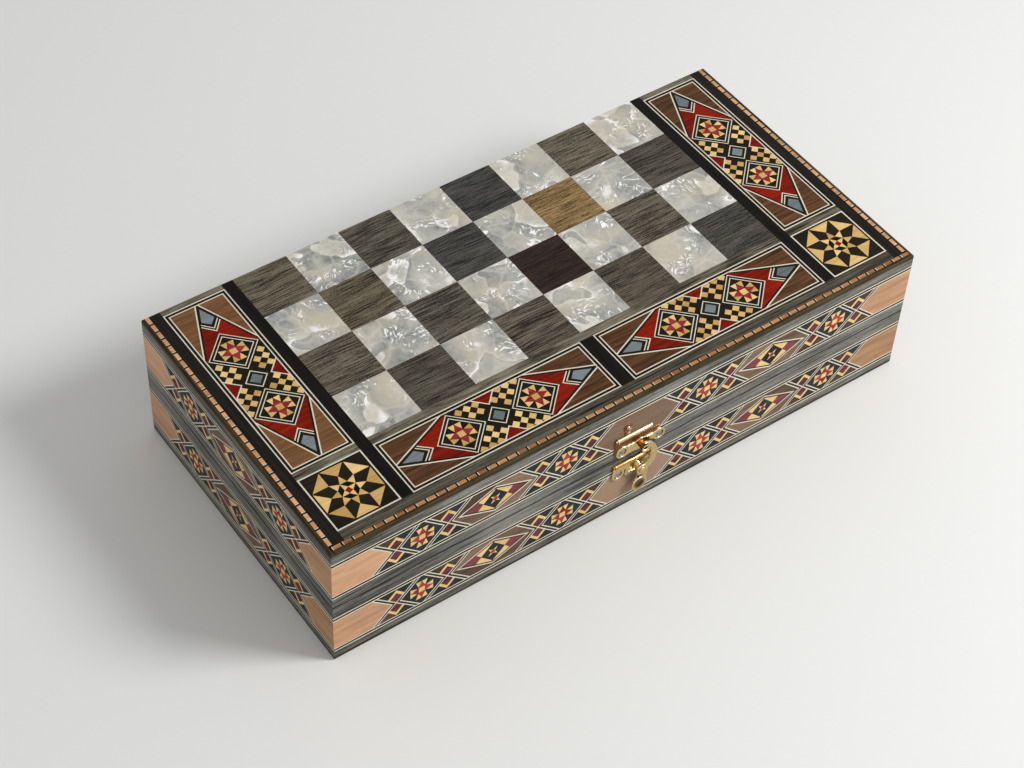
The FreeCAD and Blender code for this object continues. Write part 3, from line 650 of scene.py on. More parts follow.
class Tint(Enum):
    """The woods that the tiles are cut from."""

    WHITE = "white"
    BLACK = "black"
    SLATE = "slate"
    WALNUT = "walnut"
    NUT = "nut"
    BLOCK = "block"
    RED = "red"
    ROSE = "rose"
    MAROON = "maroon"
    YELLOW = "yellow"
    BLUE = "blue"
    ORANGE = "orange"


@dataclass
class Tile:
    """A flat convex piece of veneer, with the tone that its leaf drew."""

    tint: Tint
    outline: Outline
    tone: float


@dataclass
class Sheet:
    """A sheet of marquetry: each piece that is laid is cut into those below it, so that all end flush."""

    window: Outline
    seed: int
    palest: float = 0.0  # the least tone of a yellow piece
    tiles: list[Tile] = field(default_factory=list)

    def __post_init__(self) -> None:
        """Starts the draws."""
        self.draws = random.Random(self.seed)

    def lay(self, tint: Tint, outline: Outline, tone: float | None = None) -> None:
        """Lays a convex piece.

        Args:
            tint: Its wood.
            outline: Its outline, in either sense.
            tone: Its tone, drawn where None.
        """
        drawn = self.draws.random()
        shape = common(facing(outline), self.window)
        if not kept(shape):
            return
        least_u, least_v, most_u, most_v = extent(shape)
        tiles = []
        for tile in self.tiles:
            left, low, right, high = extent(tile.outline)
            if right <= least_u or left >= most_u or high <= least_v or low >= most_v:
                tiles.append(tile)
            else:
                tiles += [Tile(tile.tint, rest, tile.tone) for rest in without(tile.outline, shape)]
        if tint is Tint.YELLOW:
            drawn = self.palest + (1 - self.palest) * drawn
        tiles.append(Tile(tint, shape, drawn if tone is None else tone))
        self.tiles = tiles


@dataclass
class FlowerMotif:
    """A cross of four arms: a yellow square, red points on its sides and two yellow triangles to each arm."""

    points: Tint = Tint.RED
    square: float = 1.9
    point: float = 7.0
    arm: float = 7.4
    half_width: float = 3.8
    tone: float | None = None
    split: float = 0.2  # from an arm's middle to its triangles, at its end
    waist: Point = (1.25, 1.5)  # where a point is widest, in squares

    def lay_on(self, sheet: Sheet, middle: Point) -> None:
        """Lays the flower on a sheet.

        Args:
            sheet: The sheet.
            middle: The flower's middle.
        """
        low = self.square
        wide, out = low * self.waist[0], low * self.waist[1]
        petal = [(low, low), (self.half_width, self.arm), (self.split, self.arm)]
        point = [(-low, low), (low, low), (wide, out), (0.0, self.point), (-wide, out)]
        for quarter in (0, 90, 180, 270):
            for side in (1, -1):
                sheet.lay(Tint.YELLOW, moved(turned(mirrored(petal, side, 1), quarter), *middle))
            sheet.lay(self.points, moved(turned(point, quarter), *middle), self.tone)
        sheet.lay(Tint.YELLOW, moved(rectangle(-low, -low, low, low), *middle))


@dataclass
class SideBand:
    """The band of marquetry round a tray: crossings of white lines, flowers, long rhombs and plain blocks."""

    half_length: float
    crossings: tuple[float, ...]
    cells: tuple[str, ...]  # what fills the room between neighbouring crossings
    half_height: float = 11.8
    reach: float = 12.4  # from a crossing to where its lines meet the band's edge
    line_steps: tuple[float, ...] = (-0.4, 0.28, 1.48, 2.2)
    square: Point = (4.3, 4.2)  # a crossing's maroon squares: half their diagonal, and how far off they lie
    chevron: Point = (5.6, 5.4)  # the yellow squares behind them
    chip: tuple[Point, ...] = ((1.2, 10.9), (5.5, 5.5), (12.4, 11.8), (0.8, 11.8))
    chip_share: float = 0.3  # how many corners of the crossings hold a chip
    square_tones: Point = (0.1, 0.4)
    kite_tones: Point = (0.75, 1.0)
    facet_tones: Point = (0.1, 0.65)
    rhomb: Point = (24.6, 10.4)
    rhomb_steps: tuple[float, ...] = (0.0, 0.85, 1.75)
    fan: tuple[Point, ...] = ((0.4, 8.3), (11.4, 3.75), (7.9, 0.2), (0.4, 7.7))
    kite: tuple[Point, ...] = ((19.8, 0.0), (11.4, 3.9), (8.0, 0.0), (11.4, -3.9))
    star: float = 7.7
    star_point: Point = (4.3, 1.3)
    heart: float = 1.35
    block_tone: float = 0.5
    block_fade: float = 0.3  # how much darker the block at the far end is
    plain_tone: float = 0.5
    beyond: float = 200.0  # how far past the band's ends its last blocks run, unseen
    facet: Point = (60.0, 20.0)  # a quarter of a rhomb's ground, and past its edges

    def cell(self, left: float, right: float, inset: float) -> Outline:
        """The room between two crossings, inset from its slanted sides.

        Args:
            left: The left crossing.
            right: The right one.
            inset: How far in, in mm.

        Returns:
            The outline.
        """
        lean = self.reach / self.half_height
        step = inset / math.sin(math.atan2(self.half_height, self.reach))
        tall, room = self.half_height, (right - left) / 2 - step
        flat = room - lean * tall
        if flat >= 0:
            half = [(room, 0.0), (flat, tall), (-flat, tall), (-room, 0.0), (-flat, -tall), (flat, -tall)]
        else:
            half = diamond(room, half_height=room / lean)
        return moved(half, (left + right) / 2)

    def crossing_on(self, sheet: Sheet, at: float) -> None:
        """Lays the maroon squares and yellow chevrons above and below a crossing.

        Args:
            sheet: The band's sheet.
            at: Where along it the crossing is.
        """
        (square, square_off), (chevron, chevron_off) = self.square, self.chevron
        for way in (1, -1):
            for side in (1, -1):
                if sheet.draws.random() < self.chip_share:
                    sheet.lay(Tint.NUT, moved(mirrored(self.chip, side, way), at), 0.1)
            sheet.lay(Tint.YELLOW, diamond(chevron, (at, way * chevron_off)))
            maroon = diamond(square, (at, way * square_off))
            sheet.lay(Tint.MAROON, maroon, sheet.draws.uniform(*self.square_tones))

    def rhomb_on(self, sheet: Sheet, at: float) -> None:
        """Lays the long rhomb with its star.

        Args:
            sheet: The band's sheet.
            at: Where along it the rhomb's middle is.
        """
        wide, tall = self.rhomb
        slant = math.atan2(tall, wide)
        for inset, tint in zip(self.rhomb_steps, (Tint.WHITE, Tint.SLATE, Tint.SLATE)):
            off = inset / math.sin(slant)
            sheet.lay(tint, diamond(wide - off, (at, 0.0), (wide - off) * tall / wide))
        deepest = self.rhomb_steps[-1]
        inner = diamond(wide - deepest / math.sin(slant), (at, 0.0), tall - deepest / math.cos(slant))
        for side in (1, -1):
            for way in (1, -1):
                sheet.lay(Tint.YELLOW, common(facing(moved(mirrored(self.fan, side, way), at)), inner))
            kite = common(facing(moved(mirrored(self.kite, side, 1), at)), inner)
            sheet.lay(Tint.MAROON, kite, sheet.draws.uniform(*self.kite_tones))
        sheet.lay(Tint.SLATE, diamond(self.star, (at, 0.0)))
        tip, root = self.star_point
        for turn in (45, 135, 225, 315):
            sheet.lay(Tint.YELLOW, moved(turned([(0.0, -root), (tip, 0.0), (0.0, root)], turn), at), 0.9)
        heart = self.heart
        sheet.lay(Tint.ROSE, moved(rectangle(-heart, -heart, heart, heart), at))

    def sheet(self, seed: int) -> Sheet:
        """Lays the whole band.

        Args:
            seed: The draws' seed.

        Returns:
            The finished sheet.
        """
        long, tall = self.half_length, self.half_height
        sheet = Sheet(rectangle(-long, -tall, long, tall), seed, palest=0.7)
        sheet.lay(Tint.SLATE, sheet.window, 0.5)
        for at in self.crossings:
            self.crossing_on(sheet, at)
        far = long + self.beyond
        edges = [-2 * far - self.crossings[0], *self.crossings, 2 * far - self.crossings[-1]]
        for left, right, kind in zip(edges, edges[1:], ("block", *self.cells, "block")):
            ground = {"flower": Tint.SLATE, "block": Tint.BLOCK}.get(kind, Tint.NUT)
            end_tone = self.block_tone - (self.block_fade if left > 0 else 0.0)
            shade = {"block": end_tone, "plain": self.plain_tone}.get(kind, 0.6)
            for inset, tint in zip(self.line_steps, (Tint.WHITE, Tint.SLATE, Tint.WHITE, ground)):
                sheet.lay(tint, self.cell(left, right, inset), shade)
            middle = (left + right) / 2
            if kind == "flower":
                FlowerMotif(Tint.ROSE).lay_on(sheet, (middle, 0.0))
            elif kind == "rhomb":
                room = facing(self.cell(left, right, self.line_steps[-1]))
                for side, way in product((1, -1), (1, -1)):
                    quarter = facing(moved(mirrored(rectangle(0.0, 0.0, *self.facet), side, way), middle))
                    sheet.lay(Tint.NUT, common(quarter, room), sheet.draws.uniform(*self.facet_tones))
                self.rhomb_on(sheet, middle)
        return sheet


def striped(sheet: Sheet, room: Outline, steps: list[tuple[float, Tint]]) -> None:
    """Lays a rectangle's border lines one inside the other.

    Args:
        sheet: The sheet to lay on.
        room: The outer rectangle.
        steps: How far each next wood is set in, and which it is.
    """
    (left, low), (right, high) = room[0], room[2]
    for inset, tint in steps:
        sheet.lay(tint, rectangle(left + inset, low + inset, right - inset, high - inset), 0.5)


@dataclass
class PanelMotif:
    """A marquetry panel: a long rhomb on walnut with two flowers, chequered wood and a blue grey square."""

    length: float = 137.0
    width: float = 39.6
    white: float = 0.7
    black: float = 1.6
    flower_at: float = 24.5
    flower_frame: tuple[float, ...] = (15.9, 15.15, 13.2, 12.4)
    shoulder: Point = (28.6, 16.9)
    tip: Point = (65.6, 1.4)
    rhomb_steps: tuple[float, ...] = (0.0, 0.8, 2.0)
    lines: tuple[float, ...] = (42.4, 43.4, 44.9, 45.8)  # where the lines before an end kite begin
    wedge: Point = (30.0, 27.0)  # how far out and up they run, to past the panel's edge
    kite: tuple[Point, ...] = ((62.4, 0.0), (52.8, 4.1), (48.6, 0.0), (52.8, -4.1))
    chequer: Point = (5.5, 5.4)  # from one yellow square to the next
    first: Point = (4.0, 5.1)
    chequer_gap: float = 0.1
    clear_middle: float = 13.8  # how far the chequers stay from the panel's middle
    clear_flower: float = 1.5  # and from a flower's frame
    edge_points: tuple[float, ...] = (8.0, 7.0)
    middle_square: tuple[float, ...] = (7.2, 6.4, 4.2)
    ground_tone: float = 0.5
    swapped: tuple[tuple[int, int], ...] = ()  # the quarters whose chequers begin with black

    def rhomb(self, inset: float) -> Outline:
        """The panel's long outline, its slanted sides set in.

        Args:
            inset: How far in, in mm.

        Returns:
            The outline.
        """
        (u1, v1), (u2, v2) = self.shoulder, self.tip
        lean = (v1 - v2) / (u2 - u1)
        end = u2 + v2 / lean - inset / math.sin(math.atan(lean))
        shoulder = end - v1 / lean
        return [(end, 0.0), (shoulder, v1), (-shoulder, v1), (-end, 0.0), (-shoulder, -v1), (shoulder, -v1)]

    def sheet(self, seed: int) -> Sheet:
        """Lays the panel with its frame.

        Args:
            seed: The draws' seed.

        Returns:
            The finished sheet.
        """
        half, tall = self.length / 2, self.width / 2
        sheet = Sheet(rectangle(-half, -tall, half, tall), seed)
        line, dark = self.white, self.black
        striped(sheet, sheet.window, [(0.0, Tint.WHITE), (line, Tint.BLACK), (line + dark, Tint.WHITE)])
        inner = 2 * line + dark
        room = rectangle(inner - half, inner - tall, half - inner, tall - inner)
        sheet.lay(Tint.WALNUT, room, self.ground_tone)
        sheet.window = room
        for inset, tint in zip(self.rhomb_steps, (Tint.WHITE, Tint.BLACK)):
            sheet.lay(tint, self.rhomb(inset), 0.5)
        core, deep = self.rhomb(self.rhomb_steps[-1]), self.shoulder[1]
        for side, way in product((1, -1), (1, -1)):
            fire = common(facing(mirrored(rectangle(0.0, 0.0, half, deep), side, way)), core)
            sheet.lay(Tint.RED, fire, 0.85 if side * way < 0 else 0.4)
        four = (Tint.WHITE, Tint.BLACK, Tint.WHITE, Tint.BLACK)
        out, up = self.wedge
        for side in (1, -1):
            for apex, tint in zip(self.lines, four):
                wedge = mirrored([(apex, 0.0), (apex + out, up), (apex + out, -up)], side, 1)
                sheet.lay(tint, common(facing(wedge), core), 0.5)
            sheet.lay(Tint.BLUE, mirrored(self.kite, side, 1))
        middle = self.flower_at
        sheet.lay(Tint.BLACK, rectangle(-middle, -deep, middle, deep), 0.5)
        self.chequer_on(sheet)
        for way in (1, -1):
            for wide, tint in zip(self.edge_points, (Tint.WHITE, Tint.RED)):
                sheet.lay(tint, mirrored([(-wide, deep), (wide, deep), (0.0, deep - wide)], 1, way), 0.35)
        for half_diagonal, tint in zip(self.middle_square, (Tint.WHITE, Tint.BLACK, Tint.BLUE)):
            sheet.lay(tint, diamond(half_diagonal))
        flower = FlowerMotif(Tint.ROSE, square=2.0, point=7.7, arm=7.7, half_width=4.1, tone=0.25)
        for side in (1, -1):
            for half_diagonal, tint in zip(self.flower_frame, four):
                sheet.lay(tint, diamond(half_diagonal, (side * middle, 0.0)), 0.5)
            flower.lay_on(sheet, (side * middle, 0.0))
        return sheet

    def chequer_on(self, sheet: Sheet) -> None:
        """Lays the yellow squares of the chequered wood, clear of the flowers and of the panel's middle.

        Args:
            sheet: The panel's sheet.
        """
        for i, j, side, way in product(range(4), range(3), (1, -1), (1, -1)):
            off = 0.5 if (side, way) in self.swapped else 0.0
            u, v = self.first[0] + (i + off) * self.chequer[0], self.first[1] + (j - off) * self.chequer[1]
            clear = abs(u - self.flower_at) + v > self.flower_frame[0] + self.clear_flower
            if u + v > self.clear_middle and clear:
                sheet.lay(Tint.YELLOW, diamond(self.chequer[0] / 2 - self.chequer_gap, (side * u, way * v)))


@dataclass
class StarTile:
    """A corner tile: an eight pointed star in yellow on dark wood, round a small one with a red heart."""

    width: float = 39.6
    height: float = 40.4
    white: float = 0.85
    black: float = 1.15
    octagon: float = 18.2  # drawn size, stretched to the tile
    apex: float = 11.0
    small: float = 5.6
    heart: float = 2.3
    edge_gap: float = 0.35  # from a corner of the octagon to a ray
    rim_gap: float = 0.4

    def sheet(self, seed: int) -> Sheet:
        """Lays the tile with its frame.

        Args:
            seed: The draws' seed.

        Returns:
            The finished sheet.
        """
        half, tall = self.width / 2, self.height / 2
        sheet = Sheet(rectangle(-half, -tall, half, tall), seed)
        edge = self.white + self.black
        striped(sheet, sheet.window, [(0.0, Tint.WHITE), (self.white, Tint.BLACK)])
        wide, high = (half - edge) / self.octagon, (tall - edge) / self.octagon

        def put(tint: Tint, outline: Outline, tone: float | None = None) -> None:
            """Lays a piece of the star, stretched to the tile."""
            sheet.lay(tint, [(u * wide, v * high) for u, v in outline], tone)

        a, heart = self.octagon, self.heart
        put(Tint.BLACK, rectangle(-a, -a, a, a), 0.5)
        b = a * math.tan(math.pi / 8)
        for k in range(4):
            put(Tint.BLACK, turned([(a, b), (a, a), (b, a)], 90 * k))
        inner = self.small / math.cos(math.pi / 8)
        edge_half = b - self.edge_gap
        for k in range(8):
            tip, following = polar(self.apex, 45 * k), polar(self.apex, 45 * (k + 1))
            put(Tint.YELLOW, turned([(a, edge_half), (self.apex, 0.0), (a, -edge_half)], 45 * k))
            notch, other = polar(inner, 45 * k + 22.5), polar(inner, 45 * k - 22.5)
            outer = turned([(a - self.rim_gap, edge_half)], 45 * k)[0]
            put(Tint.BLACK, [tip, outer, following, notch], 0.75 + 0.2 * (k % 2))
            put(Tint.YELLOW, [tip, notch, other])
        put(Tint.BLACK, [polar(inner, 22.5 + 45 * k) for k in range(8)], 0.1)
        for k in range(4):
            points = [polar(heart, 90 * k - 22.5), polar(inner, 90 * k + 22.5), polar(heart, 90 * k + 67.5)]
            put(Tint.YELLOW, points, 0.8)
        put(Tint.RED, [polar(heart, 67.5 + 90 * k) for k in range(4)], 0.6)
        return sheet


@dataclass
class DashStrip:
    """The banding near a face's edge: short orange lengths with white and black end grain between them."""

    length: float
    tones: tuple[float, float] = (0.0, 0.5)  # of the orange lengths
    width: float = 2.8
    pitch: float = 6.45
    white: float = 0.4
    black: float = 1.1
    rim: float = 0.25

    def sheet(self, seed: int) -> Sheet:
        """Lays the strip, as long as it is.

        Args:
            seed: The draws' seed.

        Returns:
            The finished sheet.
        """
        half, tall = self.length / 2, self.width / 2
        sheet = Sheet(rectangle(-half, -tall, half, tall), seed)
        count = round(self.length / self.pitch)
        pitch = self.length / count
        rim = tall - self.rim
        for i in range(count):
            left = -half + i * pitch
            cuts = (left, left + self.black, left + self.black + self.white, left + pitch)
            tones = (0.0, 0.3, sheet.draws.uniform(*self.tones))
            for a, b, tint, tone in zip(cuts, cuts[1:], (Tint.BLACK, Tint.WHITE, Tint.ORANGE), tones):
                sheet.tiles.append(Tile(tint, rectangle(a, -rim, b, rim), tone))
        for low, high in ((-tall, -rim), (rim, tall)):
            sheet.tiles.append(Tile(Tint.BLACK, rectangle(-half, low, half, high), 0.3))
        return sheet


@dataclass
class EdgeLines:
    """White, black and white stringing beside a side band."""

    half_length: float
    white: float = 0.8
    black: float = 1.4

    def sheet(self, seed: int) -> Sheet:
        """Lays the three lines.

        Args:
            seed: The draws' seed.

        Returns:
            The finished sheet.
        """
        long, tall = self.half_length, self.white + self.black / 2
        sheet = Sheet(rectangle(-long, -tall, long, tall), seed)
        cuts = (-tall, -self.black / 2, self.black / 2, tall)
        for low, high, tint in zip(cuts, cuts[1:], (Tint.WHITE, Tint.BLACK, Tint.WHITE)):
            sheet.tiles.append(Tile(tint, rectangle(-long, low, long, high), 0.5))
        return sheet


# Placing on the box


def select_only(piece: Piece) -> None:
    """Selects one piece and makes it the active one.

    Args:
        piece: The piece.
    """
    bpy.ops.object.select_all(action="DESELECT")
    piece.select_set(True)
    bpy.context.view_layer.objects.active = piece


def new_piece(name: str, points: list[Vector], faces: list[tuple[int, ...]]) -> Piece:
    """Makes an object of points and faces, and selects it alone.

    Args:
        name: Its name.
        points: Its points in the frame, in metres.
        faces: The points of each face.

    Returns:
        The object, at the origin with its place in its mesh.
    """
    mesh = bpy.data.meshes.new(name)
    mesh.from_pydata(points, [], faces)
    piece = bpy.data.objects.new(name, mesh)
    bpy.context.collection.objects.link(piece)
    select_only(piece)
    return piece


@dataclass(frozen=True)
class Ground:
    """Where a sheet lies: the place of its middle, and which ways its u and v run."""

    middle: Place
    along: Place
    across: Place

    def place(self, point: Point) -> Vector:
        """A sheet's point in the frame, in metres."""
        return (Vector(self.middle) + Vector(self.along) * point[0] + Vector(self.across) * point[1]) * MM


def tile_object(name: str, tiles: list[tuple[Tile, Ground]], depth: float) -> Piece:
    """Makes flat tiles of one wood and gives them their thickness.

    Args:
        name: The object's name.
        tiles: Each tile and where its sheet lies.
        depth: How thick they are, inwards, in mm.

    Returns:
        The object.
    """
    points, faces, tones = [], [], []
    for tile, ground in tiles:
        faces.append(tuple(range(len(points), len(points) + len(tile.outline))))
        points += [ground.place(p) for p in tile.outline]
        tones += [tile.tone] * len(tile.outline)
    piece = new_piece(name, points, faces)
    piece.data.attributes.new("tone", "FLOAT", "POINT").data.foreach_set("value", tones)
    wall = piece.modifiers.new("thickness", "SOLIDIFY")
    wall.thickness, wall.offset = depth * MM, -1.0
    bpy.ops.object.modifier_apply(modifier=wall.name)
    return piece


@dataclass
class Palette:
    """The woods of the tiles, each with its slot. Their materials are made once each."""

    woods: dict[Tint, tuple[str, Veneer]]
    made: dict[Tint, Material] = field(default_factory=dict)

    def slot(self, tint: Tint) -> str:
        """The tint's slot."""
        return self.woods[tint][0]

    def material(self, tint: Tint) -> Material:
        """The tint's material, made at its first use.

        Args:
            tint: The tint.

        Returns:
            The material.
        """
        if tint not in self.made:
            self.made[tint] = self.woods[tint][1].material()
        return self.made[tint]


def cut_from(
    slot: str, name: str, low: str, high: str, run: Run = Run.ALONG_X, **looks: float
) -> tuple[str, Veneer]:
    """Names the veneer that tiles of one wood are cut from, each at its own place in the leaf.

    Args:
        slot: The wood's slot.
        name: The finish's name.
        low: Its darkest colour.
        high: Its lightest colour.
        run: Which way its grain runs.
        looks: The veneer's other values.

    Returns:
        The slot and the veneer.
    """
    return slot, Veneer(name, low, high, run, by_tile=True, **looks)


TILE_PALETTE = Palette(
    {
        # Holly stringing, bleached: ivory white, almost without grain.
        Tint.WHITE: cut_from(
            "light_inlay", "holly_stringing_bleached", "#cfc8ae", "#ebe6d4",
            figure=0.5, spread=0.2, pore_depth=0.12, bump=0.05,
        ),
        # Dyed pear wood: nearly black, with faint grain.
        Tint.BLACK: cut_from(
            "dark_inlay", "pear_veneer_dyed_black", "#060503", "#241d12",
            figure=0.6, spread=0.4, pore_depth=0.2,
        ),
        # The same wood in a thinner dye: slate grey.
        Tint.SLATE: cut_from(
            "dark_inlay", "pear_veneer_dyed_slate", "#131517", "#373c40",
            figure=0.6, spread=0.3, pore_depth=0.25,
        ),
        # Walnut: warm brown with open pores.
        Tint.WALNUT: cut_from(
            "walnut", "walnut_veneer_lacquered", "#27150a", "#a5754c",
            figure=0.3, spread=0.6, pore_depth=0.25,
        ),
        # Butternut: greyer and paler than walnut, with the same pores.
        Tint.NUT: cut_from(
            "walnut", "butternut_veneer_lacquered", "#4a352a", "#a3876f", Run.ROUND_SIDES,
            figure=0.3, spread=0.6, pore_depth=0.25,
        ),
        # Apricot wood: tan with soft, broad figure.
        Tint.BLOCK: cut_from(
            "light_inlay", "apricot_veneer_lacquered", "#93714f", "#dcab86", Run.ROUND_SIDES,
            figure=0.45, spread=0.6, line=3.0, pore_depth=0.08,
        ),
        # Padauk: orange red with dark streaks.
        Tint.RED: cut_from(
            "dark_inlay", "padauk_veneer_lacquered", "#480800", "#961e06",
            figure=0.7, spread=0.3, pore_depth=0.15,
        ),
        # Bloodwood: rose red, even.
        Tint.ROSE: cut_from(
            "dark_inlay", "bloodwood_veneer_lacquered", "#7a181c", "#b5464a",
            figure=0.6, spread=0.4, pore_depth=0.15,
        ),
        # Purpleheart gone brown: dull maroon.
        Tint.MAROON: cut_from(
            "dark_inlay", "purpleheart_veneer_lacquered", "#452228", "#8c464e",
            figure=0.6, spread=0.4, pore_depth=0.2,
        ),
        # Lemon wood: yellow and smooth, its pores hardly seen.
        Tint.YELLOW: cut_from(
            "light_inlay", "citrus_veneer_lacquered", "#bb934f", "#efce8c",
            figure=0.4, spread=0.45, pore_depth=0.08,
        ),
        # Dyed maple: blue grey, close grained.
        Tint.BLUE: cut_from(
            "light_inlay", "maple_veneer_dyed_blue_grey", "#55625f", "#848f93",
            figure=0.5, spread=0.3, pore_depth=0.1,
        ),
        # Apricot wood of the bandings: orange tan in short lengths.
        Tint.ORANGE: cut_from(
            "light_inlay", "apricot_banding_lacquered", "#8a5a30", "#e0ae80",
            figure=0.5, spread=0.45, pore_depth=0.12,
        ),
    }
)


@dataclass
class Inlay:
    """All sheets of one area of a tray, let into it wood by wood."""

    name: str
    body: str
    depth: float = INLAY_DEPTH
    laid: list[tuple[Sheet, Ground]] = field(default_factory=list)

    def put(self, sheet: Sheet, ground: Ground) -> None:
        """Places a sheet."""
        self.laid.append((sheet, ground))

    def build(self) -> None:
        """Makes one object for each wood and dresses it."""
        by_tint: dict[Tint, list[tuple[Tile, Ground]]] = {}
        for sheet, ground in self.laid:
            for tile in sheet.tiles:
                by_tint.setdefault(tile.tint, []).append((tile, ground))
        for tint in Tint:
            if tint in by_tint:
                piece = tile_object(f"{self.name}_{tint.value}_tiles", by_tint[tint], self.depth)
                piece.data.materials.append(TILE_PALETTE.material(tint))
                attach(piece, self.body)
                TILE_PALETTE.slot(tint)
                log.info("%s: %d pieces", piece.name, len(by_tint[tint]))


@dataclass
class Tray:
    """One half of the box, with its outer face, four sides and inside."""

    body: str
    face: float  # z of its outer face
    up: int  # 1 where the outer face looks up
    band: float  # z of the side bands' middle
    field_level: float  # z of the field inside
    seed: int
    panel_front: Point = (73.1, -67.9)
    panel_end: Point = (168.8, 26.6)
    star: Point = (168.8, -67.5)
    front_tone: float = 0.24  # of the ground of the front panels
    end_tones: Point = (0.36, 0.1)  # middle tone of the end panels' ground, and how far each is from it
    dash_in: float = 3.3  # from the edge to the middle of the dashed banding
    dash_end_tones: Point = (0.45, 1.0)
    line_off: float = 13.3  # from the band's middle to the middle of its lines
    block_tone: float = 0.8
    plain_tone: float = 0.5
    proud: float = 0.04  # how far the star inside stands up

    @property
    def inward(self) -> int:
        """The way that the field inside looks."""
        return -self.up

    def flat(self, u: float, v: float, turned_end: bool = False) -> Ground:
        """A place on the outer face.

        Args:
            u: X of the sheet's middle.
            v: Y of the sheet's middle.
            turned_end: Whether the sheet's u runs along Y.

        Returns:
            Where the sheet lies.
        """
        if turned_end:
            return Ground((u, v, self.face), (0, 1, 0), (-self.up, 0, 0))
        return Ground((u, v, self.face), (self.up, 0, 0), (0, 1, 0))

    def face_inlay(self) -> Inlay:
        """The outer face's panels, stars and dashed banding. Each sheet has a seed of its own.

        Returns:
            The inlay.
        """
        inlay = Inlay(f"{self.body}_face", self.body)
        for side in (-1, 1):
            x, y = self.panel_front
            panel = PanelMotif(ground_tone=self.front_tone, swapped=((side, -side),))
            inlay.put(panel.sheet(self.seed + side), self.flat(side * x, y))
            x, y = self.panel_end
            tone, differ = self.end_tones
            panel = PanelMotif(ground_tone=tone - differ * side * self.up, swapped=((1, 1), (1, -1)))
            inlay.put(panel.sheet(self.seed + 10 + side), self.flat(side * x, y, True))
            x, y = self.star
            inlay.put(StarTile().sheet(self.seed + 20 + side), self.flat(side * x, y))
            x, low = HALF_LENGTH - self.dash_in, self.dash_in + DashStrip.width / 2 - HALF_WIDTH
            strip = DashStrip(HALF_WIDTH - low, self.dash_end_tones).sheet(self.seed + 30 + side)
            inlay.put(strip, self.flat(side * x, (HALF_WIDTH + low) / 2, True))
        strip = DashStrip(2 * (HALF_LENGTH - self.dash_in + DashStrip.width / 2)).sheet(self.seed + 40)
        inlay.put(strip, self.flat(0.0, self.dash_in - HALF_WIDTH))
        return inlay

    def field_inlay(self) -> Inlay:
        """The star in the middle of the field inside, laid a hair proud of it.

        Returns:
            The inlay.
        """
        inlay = Inlay(f"{self.body}_field", self.body, depth=self.proud)
        level = self.field_level + self.inward * self.proud
        inlay.put(StarTile().sheet(self.seed + 80), Ground((0.0, 0.0, level), (self.inward, 0, 0), (0, 1, 0)))
        return inlay

    def side_inlay(self) -> Inlay:
        """The bands and lines on the four sides.

        Returns:
            The inlay.
        """
        inlay = Inlay(f"{self.body}_side", self.body)
        long_crossings = (-160.0, -126.8, -65.6, -32.3, 32.3, 65.6, 126.8, 160.0)
        long_cells = ("flower", "rhomb", "flower", "plain", "flower", "rhomb", "flower")
        short_crossings = (-63.8, -30.6, 30.6, 63.8)
        short_cells = ("flower", "rhomb", "flower")
        short_half = HALF_WIDTH - INLAY_DEPTH
        tones = {"block_tone": self.block_tone, "plain_tone": self.plain_tone}
        for i, (along, out, half, crossings, cells) in enumerate(
            (
                ((1, 0, 0), (0, -HALF_WIDTH), HALF_LENGTH, long_crossings, long_cells),
                ((0, 1, 0), (HALF_LENGTH, 0), short_half, short_crossings, short_cells),
                ((-1, 0, 0), (0, HALF_WIDTH), HALF_LENGTH, long_crossings, long_cells),
                ((0, -1, 0), (-HALF_LENGTH, 0), short_half, short_crossings, short_cells),
            )
        ):
            band = SideBand(half, crossings, cells, **tones).sheet(self.seed + 50 + i)
            inlay.put(band, Ground((*out, self.band), along, (0, 0, 1)))
            for way in (1, -1):
                lines = EdgeLines(half).sheet(self.seed + 60 + i)
                inlay.put(lines, Ground((*out, self.band + way * self.line_off), along, (0, 0, 1)))
        return inlay

    def build(self) -> None:
        """Builds the tray's inlays."""
        self.face_inlay().build()
        self.side_inlay().build()
        self.field_inlay().build()


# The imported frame's own nodes


def dress(material: Material, *names: str) -> None:
    """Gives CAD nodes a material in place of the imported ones.

    Args:
        material: The material.
        names: The nodes.
    """
    for name in names:
        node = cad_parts[name]
        node.data.materials.clear()
        node.data.materials.append(material)
        log.info("%s: %s", name, material.name)


